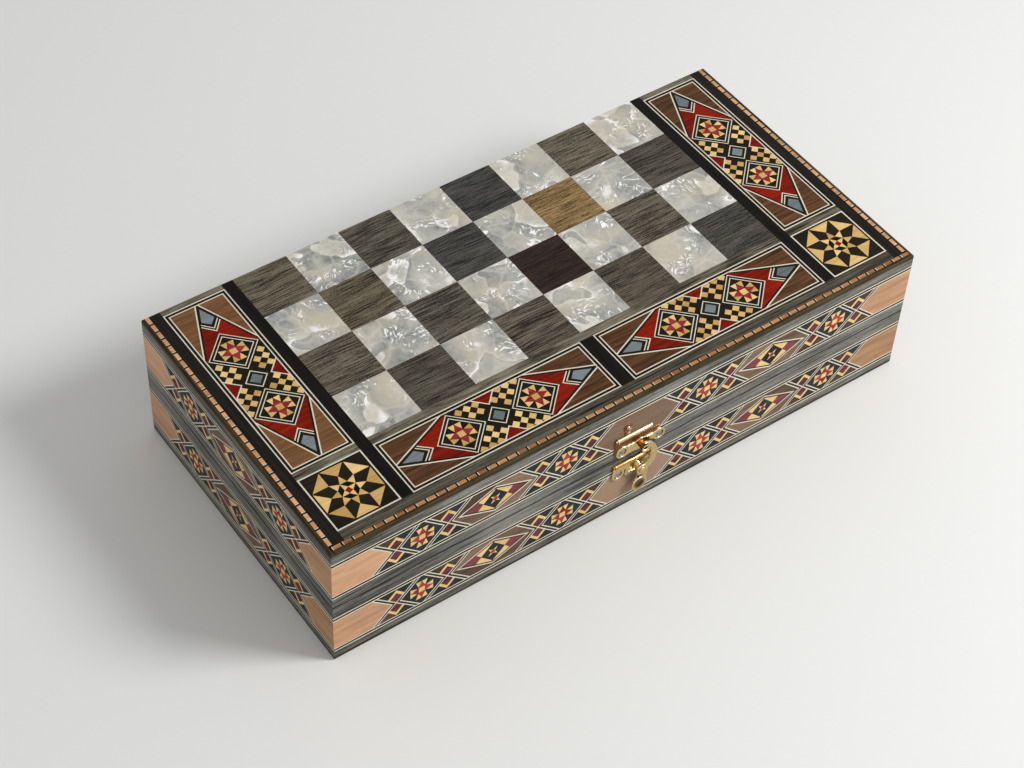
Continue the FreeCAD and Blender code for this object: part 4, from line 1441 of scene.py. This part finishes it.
@dataclass
class Shell:
    """The frame's nodes, each with the finish of what it is made of."""

    pitch: float = 35.4
    corner: Point = (-141.6, -42.5)

    def finishes(self) -> list[tuple[Veneer | SquareFinish | str, ...]]:
        """Names each finish and the nodes in both trays that have it.

        Returns:
            Each finish, with its nodes' names less their tray's.
        """
        face, sides = Run.ROUND_FACE, Run.ROUND_SIDES
        return [
            # Pearl laminate: crumpled silvery folds with bright flakes.
            (PearlVeneer("pearl_laminate_polished", self.pitch, self.corner), "pearl_squares"),
            # Board wood: open grained, grey brown to charcoal, from another leaf in each square.
            (
                BoardWood("open_grained_veneer_squares", self.pitch, self.corner, (5, 2), (4, 1)),
                "wood_squares",
            ),
            # Sanded birch plywood: pale tan, matt, close grained.
            (Veneer("birch_plywood_sanded", "#b48a5a", "#d8b585", line=2.2, roughness=0.6), "board"),
            # Planed poplar: pale and matt, its grain along each wall.
            (
                Veneer("poplar_planed", "#b89a6a", "#dcc59a", sides, line=2.6, roughness=0.6),
                "front_wall", "rear_wall", "left_wall", "right_wall",
            ),
            # Rail veneer: grey brown with fine lines, lighter and darker along its length, darkened on the
            # seam by painted shade and some grime.
            (
                Veneer(
                    "rail_veneer_grey_brown", "#3a3a36", "#8f8e86", sides,
                    line=0.6, reach=18, by_place=60, arris=46.0,
                ),
                "side_rails",
            ),
            # Border veneer: dark with grey lines, darker still on the ends.
            (
                Veneer("border_veneer_dark", "#110f0b", "#6a6456", face, line=0.8, reach=26, turned_dim=0.92),
                "border_strips",
            ),
            # Edge veneer: dark warm brown.
            (
                Veneer("edge_veneer_dark", "#171107", "#56492f", face, line=0.9, reach=30, turn=197.0),
                "edge_strips",
            ),
            # Rim veneer: dark brown, plainer than the edge's.
            (
                Veneer("rim_veneer_dark", "#241f1a", "#4d443a", face, line=1.1, reach=30, turn=190.0),
                "rim_strips",
            ),
            # Dyed pear strip: nearly black.
            (
                Veneer("pear_strip_dyed_black", "#050504", "#17140f", Run.ALONG_Y, pore_depth=0.3),
                "black_strips",
            ),
            # Grid strip: grey brown, lighter and darker along its length.
            (
                Veneer(
                    "grid_strip_grey_brown", "#2f2b20", "#8a8270",
                    line=0.8, reach=16, by_place=30, phase=400,
                ),
                "grey_strips",
            ),
            # The grounds that the tiles are let into show only as hairlines between them.
            (
                Veneer("inlay_ground_dyed_black", "#131210", "#26241f"),
                "dash_banding", "star_tiles", "side_bands",
            ),
            (Veneer("walnut_ground_sanded", "#3a2416", "#69472f"), "marquetry_panels"),
            (
                Veneer("holly_ground_bleached", "#d5cfba", "#e6e2cf", pore_depth=0.1),
                "stringing_frames", "side_lines",
            ),
            # Lacquered walnut lining: mid brown, its grain along each wall.
            (
                Veneer("walnut_lining_lacquered", "#5b3924", "#8f6242", sides, line=1.8, reach=40),
                "lining",
            ),
            # The table's walnut: lighter and broader in its grain.
            (
                Veneer("walnut_table_lacquered", "#6b452c", "#a5754d", line=2.4, reach=55, pore_depth=0.3),
                "field_veneer",
            ),
            # Maple points: cream, smooth.
            (
                Veneer("maple_points_lacquered", "#d2b27c", "#ecd6a6", line=1.8, reach=40, pore_depth=0.1),
                "points_light",
            ),
            # Wenge points: dark brown with fine lines.
            (
                Veneer("wenge_points_lacquered", "#1f1511", "#46352b", line=1.2, reach=40),
                "points_dark",
            ),
        ]

    def build(self) -> None:
        """Dresses every node and builds the clasp."""
        for finish, *names in self.finishes():
            dress(finish.material(), *(f"{tray}_{name}" for name in names for tray in ("base", "lid")))
        # Stamped brass: pale gold, with a painted highlight where it looks up and painted shade where it
        # looks down or is dished.
        brass = Metal("brass_stamped_polished", "#dcc795", "#b39250", "#4e3512", "#fff3d2", 0.22).material()
        # Brass of the sheets behind the leaves and of the peg's tube: brown and dull, painted darker as the
        # shade and dark reflections in these recesses.
        shaded_brass = Metal("brass_recess_painted_shade", "#8c5a2c", "#573414", "#33200c", "#b98442", 0.3)
        shaded_brass = shaded_brass.material()
        # Plain steel of screws and nails: grey, slightly worn, with a painted highlight where it looks up and
        # painted shade where it looks down.
        steel = Metal("steel_screw_plain", "#b7b0b0", "#7d7677", "#353230", "#d8d4d4", 0.32).material()
        plates = ("clasp_keeper_plate", "clasp_keeper_peg", "clasp_hook_plate", "clasp_hook", "clasp_rivet")
        dress(brass, *plates)
        # Drawn brass of the hinges, evenly worn, with only a faint painted shade where it looks down.
        hinge = Metal("brass_hinge_drawn", "#d9c082", "#b1904e", "#a98747", "#d9c082", 0.24).material()
        dress(hinge, "hinge_leaves_base", "hinge_leaves_lid")
        dress(steel, "clasp_keeper_screws", "clasp_hook_plate_screws")
        dress(steel, "hinge_screws_base", "hinge_screws_lid", "hinge_pins")
        # Rolled brass of the hook plate's bar: a deeper orange yellow, partly the brass and partly a painted
        # warm reflection, smooth, with a painted highlight where it looks up.
        warm_reflection_brass = Metal("brass_rolled_painted_reflection", "#d8a75f", "#a86c24", "#5a3410", "#f5c27c", 0.18).material()
        Clasp(brass, warm_reflection_brass, shaded_brass, steel).build()


# Clasp


Form = Callable[[float, float], float]  # how far a place is outside an outline, in mm
SHARP = 40.0  # degrees past which an edge stays sharp


def disc(x: float, z: float, radius: float) -> Form:
    """A round form."""
    return lambda a, b: math.hypot(a - x, b - z) - radius


def block(left: float, low: float, right: float, high: float) -> Form:
    """A rectangular form.

    Args:
        left: The least x.
        low: The least z.
        right: The greatest x.
        high: The greatest z.

    Returns:
        The form.
    """
    x, z, wide, tall = (left + right) / 2, (low + high) / 2, (right - left) / 2, (high - low) / 2

    def outside(a: float, b: float) -> float:
        """How far a place is outside the rectangle.

        Args:
            a: The place's x.
            b: Its z.

        Returns:
            The distance in mm, less than 0 inside.
        """
        u, v = abs(a - x) - wide, abs(b - z) - tall
        return math.hypot(max(u, 0.0), max(v, 0.0)) + min(max(u, v), 0.0)

    return outside


def limb(spine: list[Place]) -> Form:
    """A curved form.

    Args:
        spine: x, z and half width along it.

    Returns:
        The form.
    """

    def outside(a: float, b: float) -> float:
        """How far a place is outside the limb.

        Args:
            a: The place's x.
            b: Its z.

        Returns:
            The distance in mm, less than 0 inside.
        """
        gaps = []
        for (x, z, r), (x2, z2, r2) in zip(spine, spine[1:]):
            u, v = x2 - x, z2 - z
            share = min(max(((a - x) * u + (b - z) * v) / (u * u + v * v), 0.0), 1.0)
            gaps.append(math.hypot(a - x - u * share, b - z - v * share) - r - (r2 - r) * share)
        return min(gaps)

    return outside


def merged(forms: list[Form], blend: float) -> Form:
    """Forms joined with rounded inner corners.

    Args:
        forms: The forms.
        blend: How far from a corner the rounding starts, in mm.

    Returns:
        The joined form.
    """

    def outside(a: float, b: float) -> float:
        """How far a place is outside all of the forms.

        Args:
            a: The place's x.
            b: Its z.

        Returns:
            The distance in mm, less than 0 inside.
        """
        total = forms[0](a, b)
        for form in forms[1:]:
            other = form(a, b)
            near = max(blend - abs(total - other), 0.0) / blend
            total = min(total, other) - near * near * blend / 4
        return total

    return outside


def pierced(form: Form, holes: list[Form]) -> Form:
    """A form with holes."""
    return lambda a, b: max(form(a, b), *(-hole(a, b) for hole in holes))


def contours(form: Form, room: tuple[float, float, float, float], step: float) -> list[Outline]:
    """Traces a form's edges.

    Args:
        form: The form.
        room: Left, low, right and high of where to look.
        step: The grid's step.

    Returns:
        Closed loops with the inside on their left.
    """
    left, low, right, high = room
    wide, tall = int((right - left) / step) + 1, int((high - low) / step) + 1
    reach = [[form(left + i * step, low + j * step) for j in range(tall)] for i in range(wide)]
    after: dict[tuple[int, int, int], tuple[int, int, int]] = {}
    for i in range(wide - 1):
        for j in range(tall - 1):
            inside = [reach[i][j] < 0, reach[i + 1][j] < 0, reach[i + 1][j + 1] < 0, reach[i][j + 1] < 0]
            edges = [(i, j, 0), (i + 1, j, 1), (i, j + 1, 0), (i, j, 1)]
            turns = [(k, inside[k]) for k in range(4) if inside[k] != inside[(k + 1) % 4]]
            for at, (k, leaving) in enumerate(turns):
                if leaving:
                    after[edges[k]] = edges[turns[(at + 1) % len(turns)][0]]

    def crossing(edge: tuple[int, int, int]) -> Point:
        """Where the form's edge crosses a grid edge.

        Args:
            edge: The edge's first corner, and 1 where it runs upward.

        Returns:
            The place.
        """
        i, j, upright = edge
        i2, j2 = (i, j + 1) if upright else (i + 1, j)
        share = reach[i][j] / (reach[i][j] - reach[i2][j2])
        return left + (i + (i2 - i) * share) * step, low + (j + (j2 - j) * share) * step

    loops = []
    while after:
        first = edge = next(iter(after))
        loop = []
        while edge in after:
            loop.append(crossing(edge))
            edge = after.pop(edge)
        if edge == first and len(loop) > 5:
            # Points that nearly coincide would make slivers.
            loops.append([p for k, p in enumerate(loop) if math.dist(p, loop[k - 1]) > step * 0.25])
    return loops


def outward(form: Form, a: float, b: float) -> Point:
    """The direction out of a form at a place.

    Args:
        form: The form.
        a: The place's x.
        b: Its z.

    Returns:
        A direction of length 1.
    """
    near = 0.02
    u, v = form(a + near, b) - form(a - near, b), form(a, b + near) - form(a, b - near)
    length = math.hypot(u, v) or 1.0
    return u / length, v / length


def smoothed(piece: Piece) -> Piece:
    """The selected piece, shaded smooth but at its sharp edges."""
    bpy.ops.object.shade_smooth_by_angle(angle=math.radians(SHARP))
    return piece


@dataclass
class Stamping:
    """A stamped piece before the box's front: an outline with a rounded edge and a flat or dished face."""

    name: str
    form: Form
    room: tuple[float, float, float, float]
    back: float  # mm before the box
    front: float
    edge: float = 0.3
    dish: Callable[[float, float], float] | None = None  # how deep the face lies at a place
    step: float = 0.25
    arcs: int = 3  # faces across the rounded edge
    pace: float = 0.45  # between the points of a dished face
    margin: float = 0.2  # how far these stay from its edge

    def place(self, a: float, b: float, depth: float) -> Vector:
        """A place before the box, in metres."""
        return Vector((a, -HALF_WIDTH - depth, b)) * MM

    def cap(self, loops: list[Outline], inner: list[Point]) -> tuple[list[Point], list[tuple[int, ...]]]:
        """Fills loops with triangles.

        Args:
            loops: The edges.
            inner: More points to use.

        Returns:
            The points beyond those of the loops, and the triangles, which count the loops' points first.
        """
        points, edges = [], []
        for loop in loops:
            start = len(points)
            points += [Vector(p) for p in loop]
            edges += [(start + k, start + (k + 1) % len(loop)) for k in range(len(loop))]
        around = len(points)
        points += [Vector(p) for p in inner]
        spots, _, triangles, origins = delaunay_2d_cdt(points, edges, [], 0, 1e-7)[:4]
        index = []
        for spot, origin in zip(spots, origins):
            if not origin:
                points.append(spot)
            index.append(origin[0] if origin else len(points) - 1)
        shown = []
        for face in triangles:
            a = sum(spots[k][0] for k in face) / len(face)
            b = sum(spots[k][1] for k in face) / len(face)
            if self.form(a, b) < 0:
                shown.append(tuple(index[k] for k in face))
        return [(p[0], p[1]) for p in points[around:]], shown

    def build(self) -> Piece:
        """Makes the piece.

        Returns:
            The piece.
        """
        loops = contours(self.form, self.room, self.step)
        steps = [(0.0, self.back)]
        for k in range(self.arcs + 1):
            angle = math.pi / 2 * k / self.arcs
            steps.append((self.edge * (1 - math.cos(angle)), self.front - self.edge * (1 - math.sin(angle))))
        dish = self.dish or (lambda a, b: 0.0)
        points: list[Vector] = []
        faces: list[tuple[int, ...]] = []
        rings: list[list[Outline]] = []
        for inset, depth in steps:
            ring = []
            for loop in loops:
                moved_in = []
                for a, b in loop:
                    u, v = outward(self.form, a, b)
                    moved_in.append((a - u * inset, b - v * inset))
                ring.append(moved_in)
            rings.append(ring)
            points += [self.place(a, b, depth) for loop in ring for a, b in loop]
        around = sum(len(loop) for loop in loops)
        for k in range(len(steps) - 1):
            start = k * around
            for loop in loops:
                for n in range(len(loop)):
                    one, two = start + n, start + (n + 1) % len(loop)
                    faces.append((one, two, two + around, one + around))
                start += len(loop)
        inner = []
        if self.dish:
            left, low, right, high = self.room
            for i in range(int((right - left) / self.pace)):
                for j in range(int((high - low) / self.pace)):
                    a, b = left + i * self.pace, low + j * self.pace
                    if self.form(a, b) < -self.edge - self.margin and dish(a, b) > 0:
                        inner.append((a, b))
        depths = [0.0] * len(points)
        last = len(points) - around
        for ring, start, depth, order in ((rings[0], 0, self.back, -1), (rings[-1], last, self.front, 1)):
            more, filled = self.cap(ring, inner if order > 0 else [])
            added = len(points)
            for face in filled:
                faces.append(tuple(start + k if k < around else added + k - around for k in face)[::order])
            sunk = [dish(a, b) if order > 0 else 0.0 for a, b in more]
            points += [self.place(a, b, depth - low) for (a, b), low in zip(more, sunk)]
            depths += sunk
        piece = smoothed(new_piece(self.name, points, faces))
        # How deep the face is dished, which the metal darkens as painted shade.
        piece.data.attributes.new("sunk", "FLOAT", "POINT").data.foreach_set("value", depths)
        return piece


@dataclass
class Turned:
    """A turned piece on an axis before the box, from its profile."""

    name: str
    x: float
    z: float
    profile: list[Point]  # radius and depth, from the back's middle to the front's
    sides: int = 40

    def build(self) -> Piece:
        """Makes the piece.

        Returns:
            The piece.
        """
        points, faces = [], []
        rings: list[list[int]] = []
        for radius, depth in self.profile:
            count = 1 if radius == 0 else self.sides
            ring = []
            for k in range(count):
                angle = 2 * math.pi * k / self.sides
                x, z = self.x + radius * math.cos(angle), self.z + radius * math.sin(angle)
                ring.append(len(points))
                points.append(Vector((x, -HALF_WIDTH - depth, z)) * MM)
            rings.append(ring)
        for one, two in zip(rings, rings[1:]):
            for k in range(self.sides):
                n = k + 1
                quad = (one[k % len(one)], one[n % len(one)], two[n % len(two)], two[k % len(two)])
                faces.append(tuple(dict.fromkeys(quad)))
        return smoothed(new_piece(self.name, points, faces))


@dataclass
class Bar:
    """A rolled bar across a clasp plate, with a collar and a small knob at each end."""

    name: str
    left: float
    right: float
    z: float
    radius: float = 1.35
    depth: float = 0.95  # of its axis before the box
    collar: Point = (0.9, 1.18)  # length, and its radius as a share of the bar's
    collar_at: float = 1.5  # from the bar's end to the middle of the collar
    knob: Point = (1.2, 0.55)  # the same for a knob
    rounding: float = 0.22

    def build(self) -> Piece:
        """Makes the bar of cylinders joined to one piece.

        Returns:
            The bar.
        """
        bpy.ops.object.select_all(action="DESELECT")
        parts = []
        middle, long = (self.left + self.right) / 2, self.right - self.left
        collar, wider = self.collar
        knob, thinner = self.knob
        for place, length, radius in (
            (middle, long - 2 * knob, self.radius),
            (self.left + self.collar_at, collar, self.radius * wider),
            (self.right - self.collar_at, collar, self.radius * wider),
            (middle, long, self.radius * thinner),
        ):
            bpy.ops.mesh.primitive_cylinder_add(
                vertices=40,
                radius=radius * MM,
                depth=length * MM,
                location=(place * MM, -(HALF_WIDTH + self.depth) * MM, self.z * MM),
                rotation=(0.0, math.pi / 2, 0.0),
            )
            part = bpy.context.active_object
            bpy.ops.object.transform_apply(location=True, rotation=True, scale=True)
            round_off = part.modifiers.new("rounding", "BEVEL")
            round_off.width, round_off.segments, round_off.limit_method = self.rounding * MM, 3, "ANGLE"
            bpy.ops.object.modifier_apply(modifier=round_off.name)
            parts.append(part)
        bpy.ops.object.select_all(action="DESELECT")
        for part in parts:
            part.select_set(True)
        bpy.context.view_layer.objects.active = parts[0]
        bpy.ops.object.join()
        bar = bpy.context.active_object
        bar.name = self.name
        return smoothed(bar)


@dataclass
class Screw:
    """A slotted screw sunk in a clasp plate."""

    name: str
    x: float
    z: float
    radius: float = 2.5
    face: float = 0.9  # mm before the box
    shank: Place = (1.1, -1.2, -0.7)  # radius, and from where to where it runs
    slot: float = 0.55
    slot_turn: float = 0.5  # radians
    mill: Point = (7.0, 0.8)  # its length and height, half of which it cuts

    def build(self) -> Piece:
        """Makes the screw and mills its slot.

        Returns:
            The screw.
        """
        radius, face, rim = self.radius, self.face, self.face - 0.28
        thin, end, neck = self.shank
        profile = [(0.0, end), (thin, end), (thin, neck), (radius, rim - 0.05), (radius, rim)]
        profile += [(radius - 0.25, face - 0.12), (radius * 0.5, face - 0.03), (0.0, face)]
        screw = Turned(self.name, self.x, self.z, profile).build()
        bpy.ops.object.select_all(action="DESELECT")
        at = (self.x * MM, -(HALF_WIDTH + face) * MM, self.z * MM)
        bpy.ops.mesh.primitive_cube_add(size=1.0, location=at, rotation=(0.0, self.slot_turn, 0.0))
        mill = bpy.context.active_object
        mill.scale = (self.mill[0] * MM, self.mill[1] * MM, self.slot * MM)
        bpy.ops.object.transform_apply(location=True, rotation=True, scale=True)
        milled = screw.modifiers.new("slot", "BOOLEAN")
        milled.object, milled.operation, milled.solver = mill, "DIFFERENCE", "EXACT"
        select_only(screw)
        bpy.ops.object.modifier_apply(modifier=milled.name)
        bpy.data.objects.remove(mill, do_unlink=True)
        return screw


Made = Stamping | Turned | Bar | Screw  # what builds a piece of the clasp


@dataclass
class Clasp:
    """The brass hook clasp: keeper plate with its peg on the lid, hook plate with its hook on the base."""

    brass: Material
    warm_reflection_brass: Material
    shaded_brass: Material
    steel: Material
    middle: float = 3.0  # x of peg and pivot
    peg: float = 51.1  # z of the peg
    pivot: float = 31.8  # z of the rivet
    left: float = -15.5  # of both plates
    right: float = 16.0
    roll: float = 25.5  # length of the plates' rolled bars
    keeper_roll: float = 63.1  # z of the keeper's bar
    hook_roll: float = 40.7
    ear: float = 4.3
    ear_hole: float = 2.75
    lobe: float = 2.8  # radius of the lobe round a nail
    keeper_ears: float = 13.0  # from the peg to either ear
    keeper_nail: Point = (-10.0, 70.0)  # x from the middle, and z
    hook_ear: Point = (-14.5, 32.6)
    hook_nail: Point = (-6.8, 30.4)
    hook_joint: float = 36.0  # z to which the parts of the hook plate's leaf run
    sheet_front: float = 0.5  # of the plates' lower sheets, before the box
    leaf: Point = (0.25, 1.2)  # back and front of their upper leaves, sunk in the sheets
    hook_back: float = 3.4
    hook_front: float = 5.0
    boss: float = 3.8
    bow: tuple[Place, ...] = (
        (0.2, 22.3, 0.6), (1.4, 22.0, 0.7), (3.0, 21.1, 1.0), (4.8, 19.2, 1.5), (6.3, 16.2, 1.95),
        (7.3, 12.8, 2.3), (7.5, 9.4, 2.4), (6.8, 6.0, 2.4), (5.0, 3.0, 2.4), (2.5, 1.0, 2.6),
    )  # x, z and half width from the pivot
    neck: tuple[Place, ...] = (
        (1.2, -2.0, 1.9), (2.4, -4.6, 1.5), (2.3, -7.0, 1.6), (1.0, -9.0, 2.2),
    )
    pull: Place = (-1.0, -11.6, 5.3)  # x, z and radius of the finger pull
    pull_rim: float = 0.9
    pull_depth: float = 0.95

    def fit(self, made: Made, look: Material, body: str, node: str) -> None:
        """Builds a piece, dresses it and puts it in a node's place.

        Args:
            made: The piece to build.
            look: Its material.
            body: The body that it rides.
            node: The node that it replaces.
        """
        piece = made.build()
        piece.data.materials.clear()
        piece.data.materials.append(look)
        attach(piece, body)
        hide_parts(node)
        log.info("%s: %d faces", piece.name, len(piece.data.polygons))

    def keeper(self) -> None:
        """Builds the lid's half: sheet, leaf with two ears, bar, screws, nail and peg."""
        x, z = self.middle, self.peg
        first, last = x - self.keeper_ears, x + self.keeper_ears
        nail = (x + self.keeper_nail[0], self.keeper_nail[1])
        strap = block(nail[0] - 1.6, 62, nail[0] + 1.6, 69)
        plates = [block(self.left, z, 10.5, 63.6), block(9.0, z, self.right, 58.8)]
        sheet = merged([*plates, disc(*nail, self.lobe), strap], 2.0)
        ears = [disc(first, z, self.ear), disc(last, z, self.ear)]
        bridge = [block(first, 47.6, x, 54.6), block(x, 50.4, last, 54.6), disc(x, z, self.ear)]
        holes = [disc(first, z, self.ear_hole), disc(last, z, self.ear_hole)]
        leaf = pierced(merged([*ears, *bridge], 2.0), holes)
        dome = [(0.0, 0.0), (1.3, 0.3), (1.3, 0.7), (1.1, 1.05), (0.7, 1.3), (0.0, 1.42)]
        tube = [(0.0, 0.0), (2.1, 0.0), (2.1, 5.2), (1.35, 5.2), (1.3, 1.2), (0.0, 1.2)]
        flare = [(1.45, 5.1), (2.2, 5.1), (2.6, 5.3), (2.9, 5.6), (2.88, 5.9)]
        flare += [(2.6, 6.1), (2.2, 6.05), (1.75, 5.75), (1.45, 5.1)]
        room = (-22.0, 44.0, 24.0, 76.0)
        plate, screws, peg = "clasp_keeper_plate", "clasp_keeper_screws", "clasp_keeper_peg"
        bar = Bar("clasp_keeper_bar", self.left, self.left + self.roll, self.keeper_roll)
        # The sheet and the peg's tube take the darker brass: painted shade behind the leaf and inside the
        # peg.
        for made, look, node in (
            (Stamping("clasp_keeper_sheet", sheet, room, 0.0, self.sheet_front, 0.2), self.shaded_brass, plate),
            (Stamping("clasp_keeper_leaf", leaf, room, *self.leaf, 0.4), self.brass, plate),
            (bar, self.brass, plate),
            (Screw("clasp_keeper_left_screw", first, z), self.steel, screws),
            (Screw("clasp_keeper_right_screw", last, z), self.steel, screws),
            (Turned("clasp_keeper_nail", *nail, dome), self.steel, screws),
            (Turned("clasp_keeper_peg_tube", x, z, tube, 48), self.shaded_brass, peg),
            (Turned("clasp_keeper_peg_rim", x, z, flare, 48), self.brass, peg),
        ):
            self.fit(made, look, "lid", node)

    def hook_plate(self) -> None:
        """Builds the base's plate: sheet, leaf with an ear and a nail lobe, bar, screw and nail."""
        x, joint = self.middle, self.hook_joint
        ear, nail = ((x + off, z) for off, z in (self.hook_ear, self.hook_nail))
        sheet = block(self.left, 36.8, self.left + self.roll, 41.6)
        leaf = merged(
            [
                disc(*ear, self.ear),
                disc(*nail, self.lobe),
                disc(x, self.pivot, 3.6),
                block(self.left + 0.3, 35.0, self.left + 25.0, 38.7),
                block(nail[0] - 2.2, nail[1], nail[0] + 2.2, joint),
                block(x - 2.6, self.pivot, x + 2.6, joint),
                block(ear[0] - 3.6, ear[1], ear[0] + 4.0, joint),
                block(nail[0], 33.6, x, joint),
            ],
            1.2,
        )
        leaf = pierced(leaf, [disc(*ear, self.ear_hole)])
        dome = [(0.0, 0.2), (1.3, 0.5), (1.3, 1.25), (1.1, 1.6), (0.7, 1.85), (0.0, 1.97)]
        stud = [(0.0, 0.0), (2.6, 0.0), (2.6, 3.3), (1.5, 3.3), (1.5, 5.1)]
        stud += [(2.2, 5.1), (2.2, 5.35), (1.9, 5.7), (1.1, 5.95), (0.0, 6.0)]
        room = (-22.0, 24.0, 16.0, 46.0)
        plate, screws = "clasp_hook_plate", "clasp_hook_plate_screws"
        bar = Bar("clasp_hook_bar", self.left, self.left + self.roll, self.hook_roll)
        # The sheet takes the darker brass as painted shade behind the leaf, and the bar takes the warmer
        # brass as a painted reflection.
        for made, look, node in (
            (Stamping("clasp_hook_sheet", sheet, room, 0.0, self.sheet_front, 0.2), self.shaded_brass, plate),
            (Stamping("clasp_hook_leaf", leaf, room, *self.leaf, 0.4), self.brass, plate),
            (bar, self.warm_reflection_brass, plate),
            (Screw("clasp_hook_screw", *ear), self.steel, screws),
            (Turned("clasp_hook_nail", *nail, dome), self.steel, screws),
            (Turned("clasp_pivot_rivet", x, self.pivot, stud), self.brass, "clasp_rivet"),
        ):
            self.fit(made, look, "base", node)

    def hook(self) -> None:
        """Builds the hook with its boss, neck and dished finger pull."""
        x, z = self.middle, self.pivot
        a, b, radius = self.pull
        bow, neck = (limb([(x + u, z + v, r) for u, v, r in spine]) for spine in (self.bow, self.neck))
        form = merged([bow, disc(x, z, self.boss), neck, disc(x + a, z + b, radius)], 1.0)
        form = pierced(form, [disc(x, z, 1.6)])

        def dish(u: float, v: float) -> float:
            """How deep the finger pull is dished."""
            share = math.hypot(u - x - a, v - z - b) / (radius - self.pull_rim)
            return 0.0 if share >= 1 else self.pull_depth * (1 - share * share)

        room = (x - 14.0, z - 20.0, x + 14.0, z + 26.0)
        bow = Stamping("clasp_hook_bow", form, room, self.hook_back, self.hook_front, 0.55, dish)
        self.fit(bow, self.brass, "hook", "clasp_hook")

    def build(self) -> None:
        """Builds the clasp."""
        self.keeper()
        self.hook_plate()
        self.hook()


# Studio


@dataclass
class Studio:
    """A pale floor, a white surround, a soft key from the right front, and the photograph's view."""

    lens: float = 81.05
    sensor: float = 36.0
    eye: Place = (-0.5682, -0.7257, 1.0302)  # metres, as all places of the studio
    right: Place = (0.81760, -0.57466, 0.03602)
    up: Place = (0.4075, 0.6217, 0.6688)
    forward: Place = (0.40675, 0.53217, -0.74253)
    sky: float = 0.5
    key_place: Place = (1.05, -1.0, 1.35)
    key_size: float = 0.7
    key_power: float = 27.0
    middle: Place = (0.0, 0.0, 0.05)  # of the box
    floor_size: float = 12.0
    floor_gap: float = 0.0002  # under the box

    def camera(self) -> None:
        """Sets the camera at the photograph's place."""
        data = bpy.data.cameras.new("camera")
        data.sensor_width, data.lens = self.sensor, self.lens
        data.clip_start, data.clip_end = 0.01, 60.0
        camera = bpy.data.objects.new("camera", data)
        bpy.context.collection.objects.link(camera)
        turn = Matrix((self.right, self.up, tuple(-f for f in self.forward))).transposed().to_4x4()
        camera.matrix_world = Matrix.Translation(self.eye) @ turn
        bpy.context.scene.camera = camera

    @staticmethod
    def seen(tree: Tree) -> Node:
        """1 for rays that show the background: from the camera, off gloss and through glass.

        Args:
            tree: The surround's tree.

        Returns:
            The node that gives 1 or 0.
        """
        path = add(tree, "LightPath").outputs
        seen = add(tree, "Math", {0: path["Is Camera Ray"], 1: path["Is Glossy Ray"]}, operation="ADD")
        return add(tree, "Math", {0: seen, 1: path["Is Transmission Ray"]}, operation="ADD", use_clamp=True)

    def surround(self) -> None:
        """Makes the white surround, dimmer as light than as background."""
        world = bpy.data.worlds.new("white_surround")
        world.use_nodes = True
        bpy.context.scene.world = world
        tree = world.node_tree
        tree.nodes.clear()
        strength = add(tree, "MapRange", {"Value": self.seen(tree), "To Min": self.sky, "To Max": 1.0})
        light = add(tree, "Background", {"Color": "#ffffff", "Strength": strength})
        add(tree, "OutputWorld", {"Surface": light})

    def floor(self) -> None:
        """Lays the pale floor under the box."""
        bpy.ops.object.select_all(action="DESELECT")
        bpy.ops.mesh.primitive_plane_add(size=self.floor_size, location=(0.0, 0.0, -self.floor_gap))
        floor = bpy.context.active_object
        floor.name = "floor"
        bpy.ops.object.transform_apply(location=True)
        material, tree = new_material("floor_paint_matt")
        finish_surface(tree, {"Base Color": "#e9e9e7", "Roughness": 0.85, "Specular IOR Level": 0.2})
        floor.data.materials.append(material)

    def key(self) -> None:
        """Adds the soft key lamp, which looks at the box."""
        data = bpy.data.lights.new("key", "AREA")
        data.shape, data.size, data.energy = "DISK", self.key_size, self.key_power
        lamp = bpy.data.objects.new("key", data)
        bpy.context.collection.objects.link(lamp)
        lamp.location = self.key_place
        lamp.rotation_mode = "QUATERNION"
        lamp.rotation_quaternion = (Vector(self.middle) - Vector(self.key_place)).to_track_quat("-Z", "Y")

    def build(self) -> None:
        """Sets up the studio."""
        self.camera()
        self.surround()
        self.floor()
        self.key()
        bpy.context.scene.view_settings.view_transform = "Standard"
        log.info("studio ready")


def main() -> None:
    """Builds the studio, dresses the frame and lays the inlays."""
    logging.basicConfig(level=logging.INFO, format="%(message)s")
    Studio().build()
    Shell().build()
    Tray("lid", 92.0, 1, 68.2, 86.0, 100).build()
    Tray("base", 0.0, -1, 22.0, 6.0, 300, block_tone=0.6, plain_tone=0.95).build()


if __name__ == "__main__":
    main()
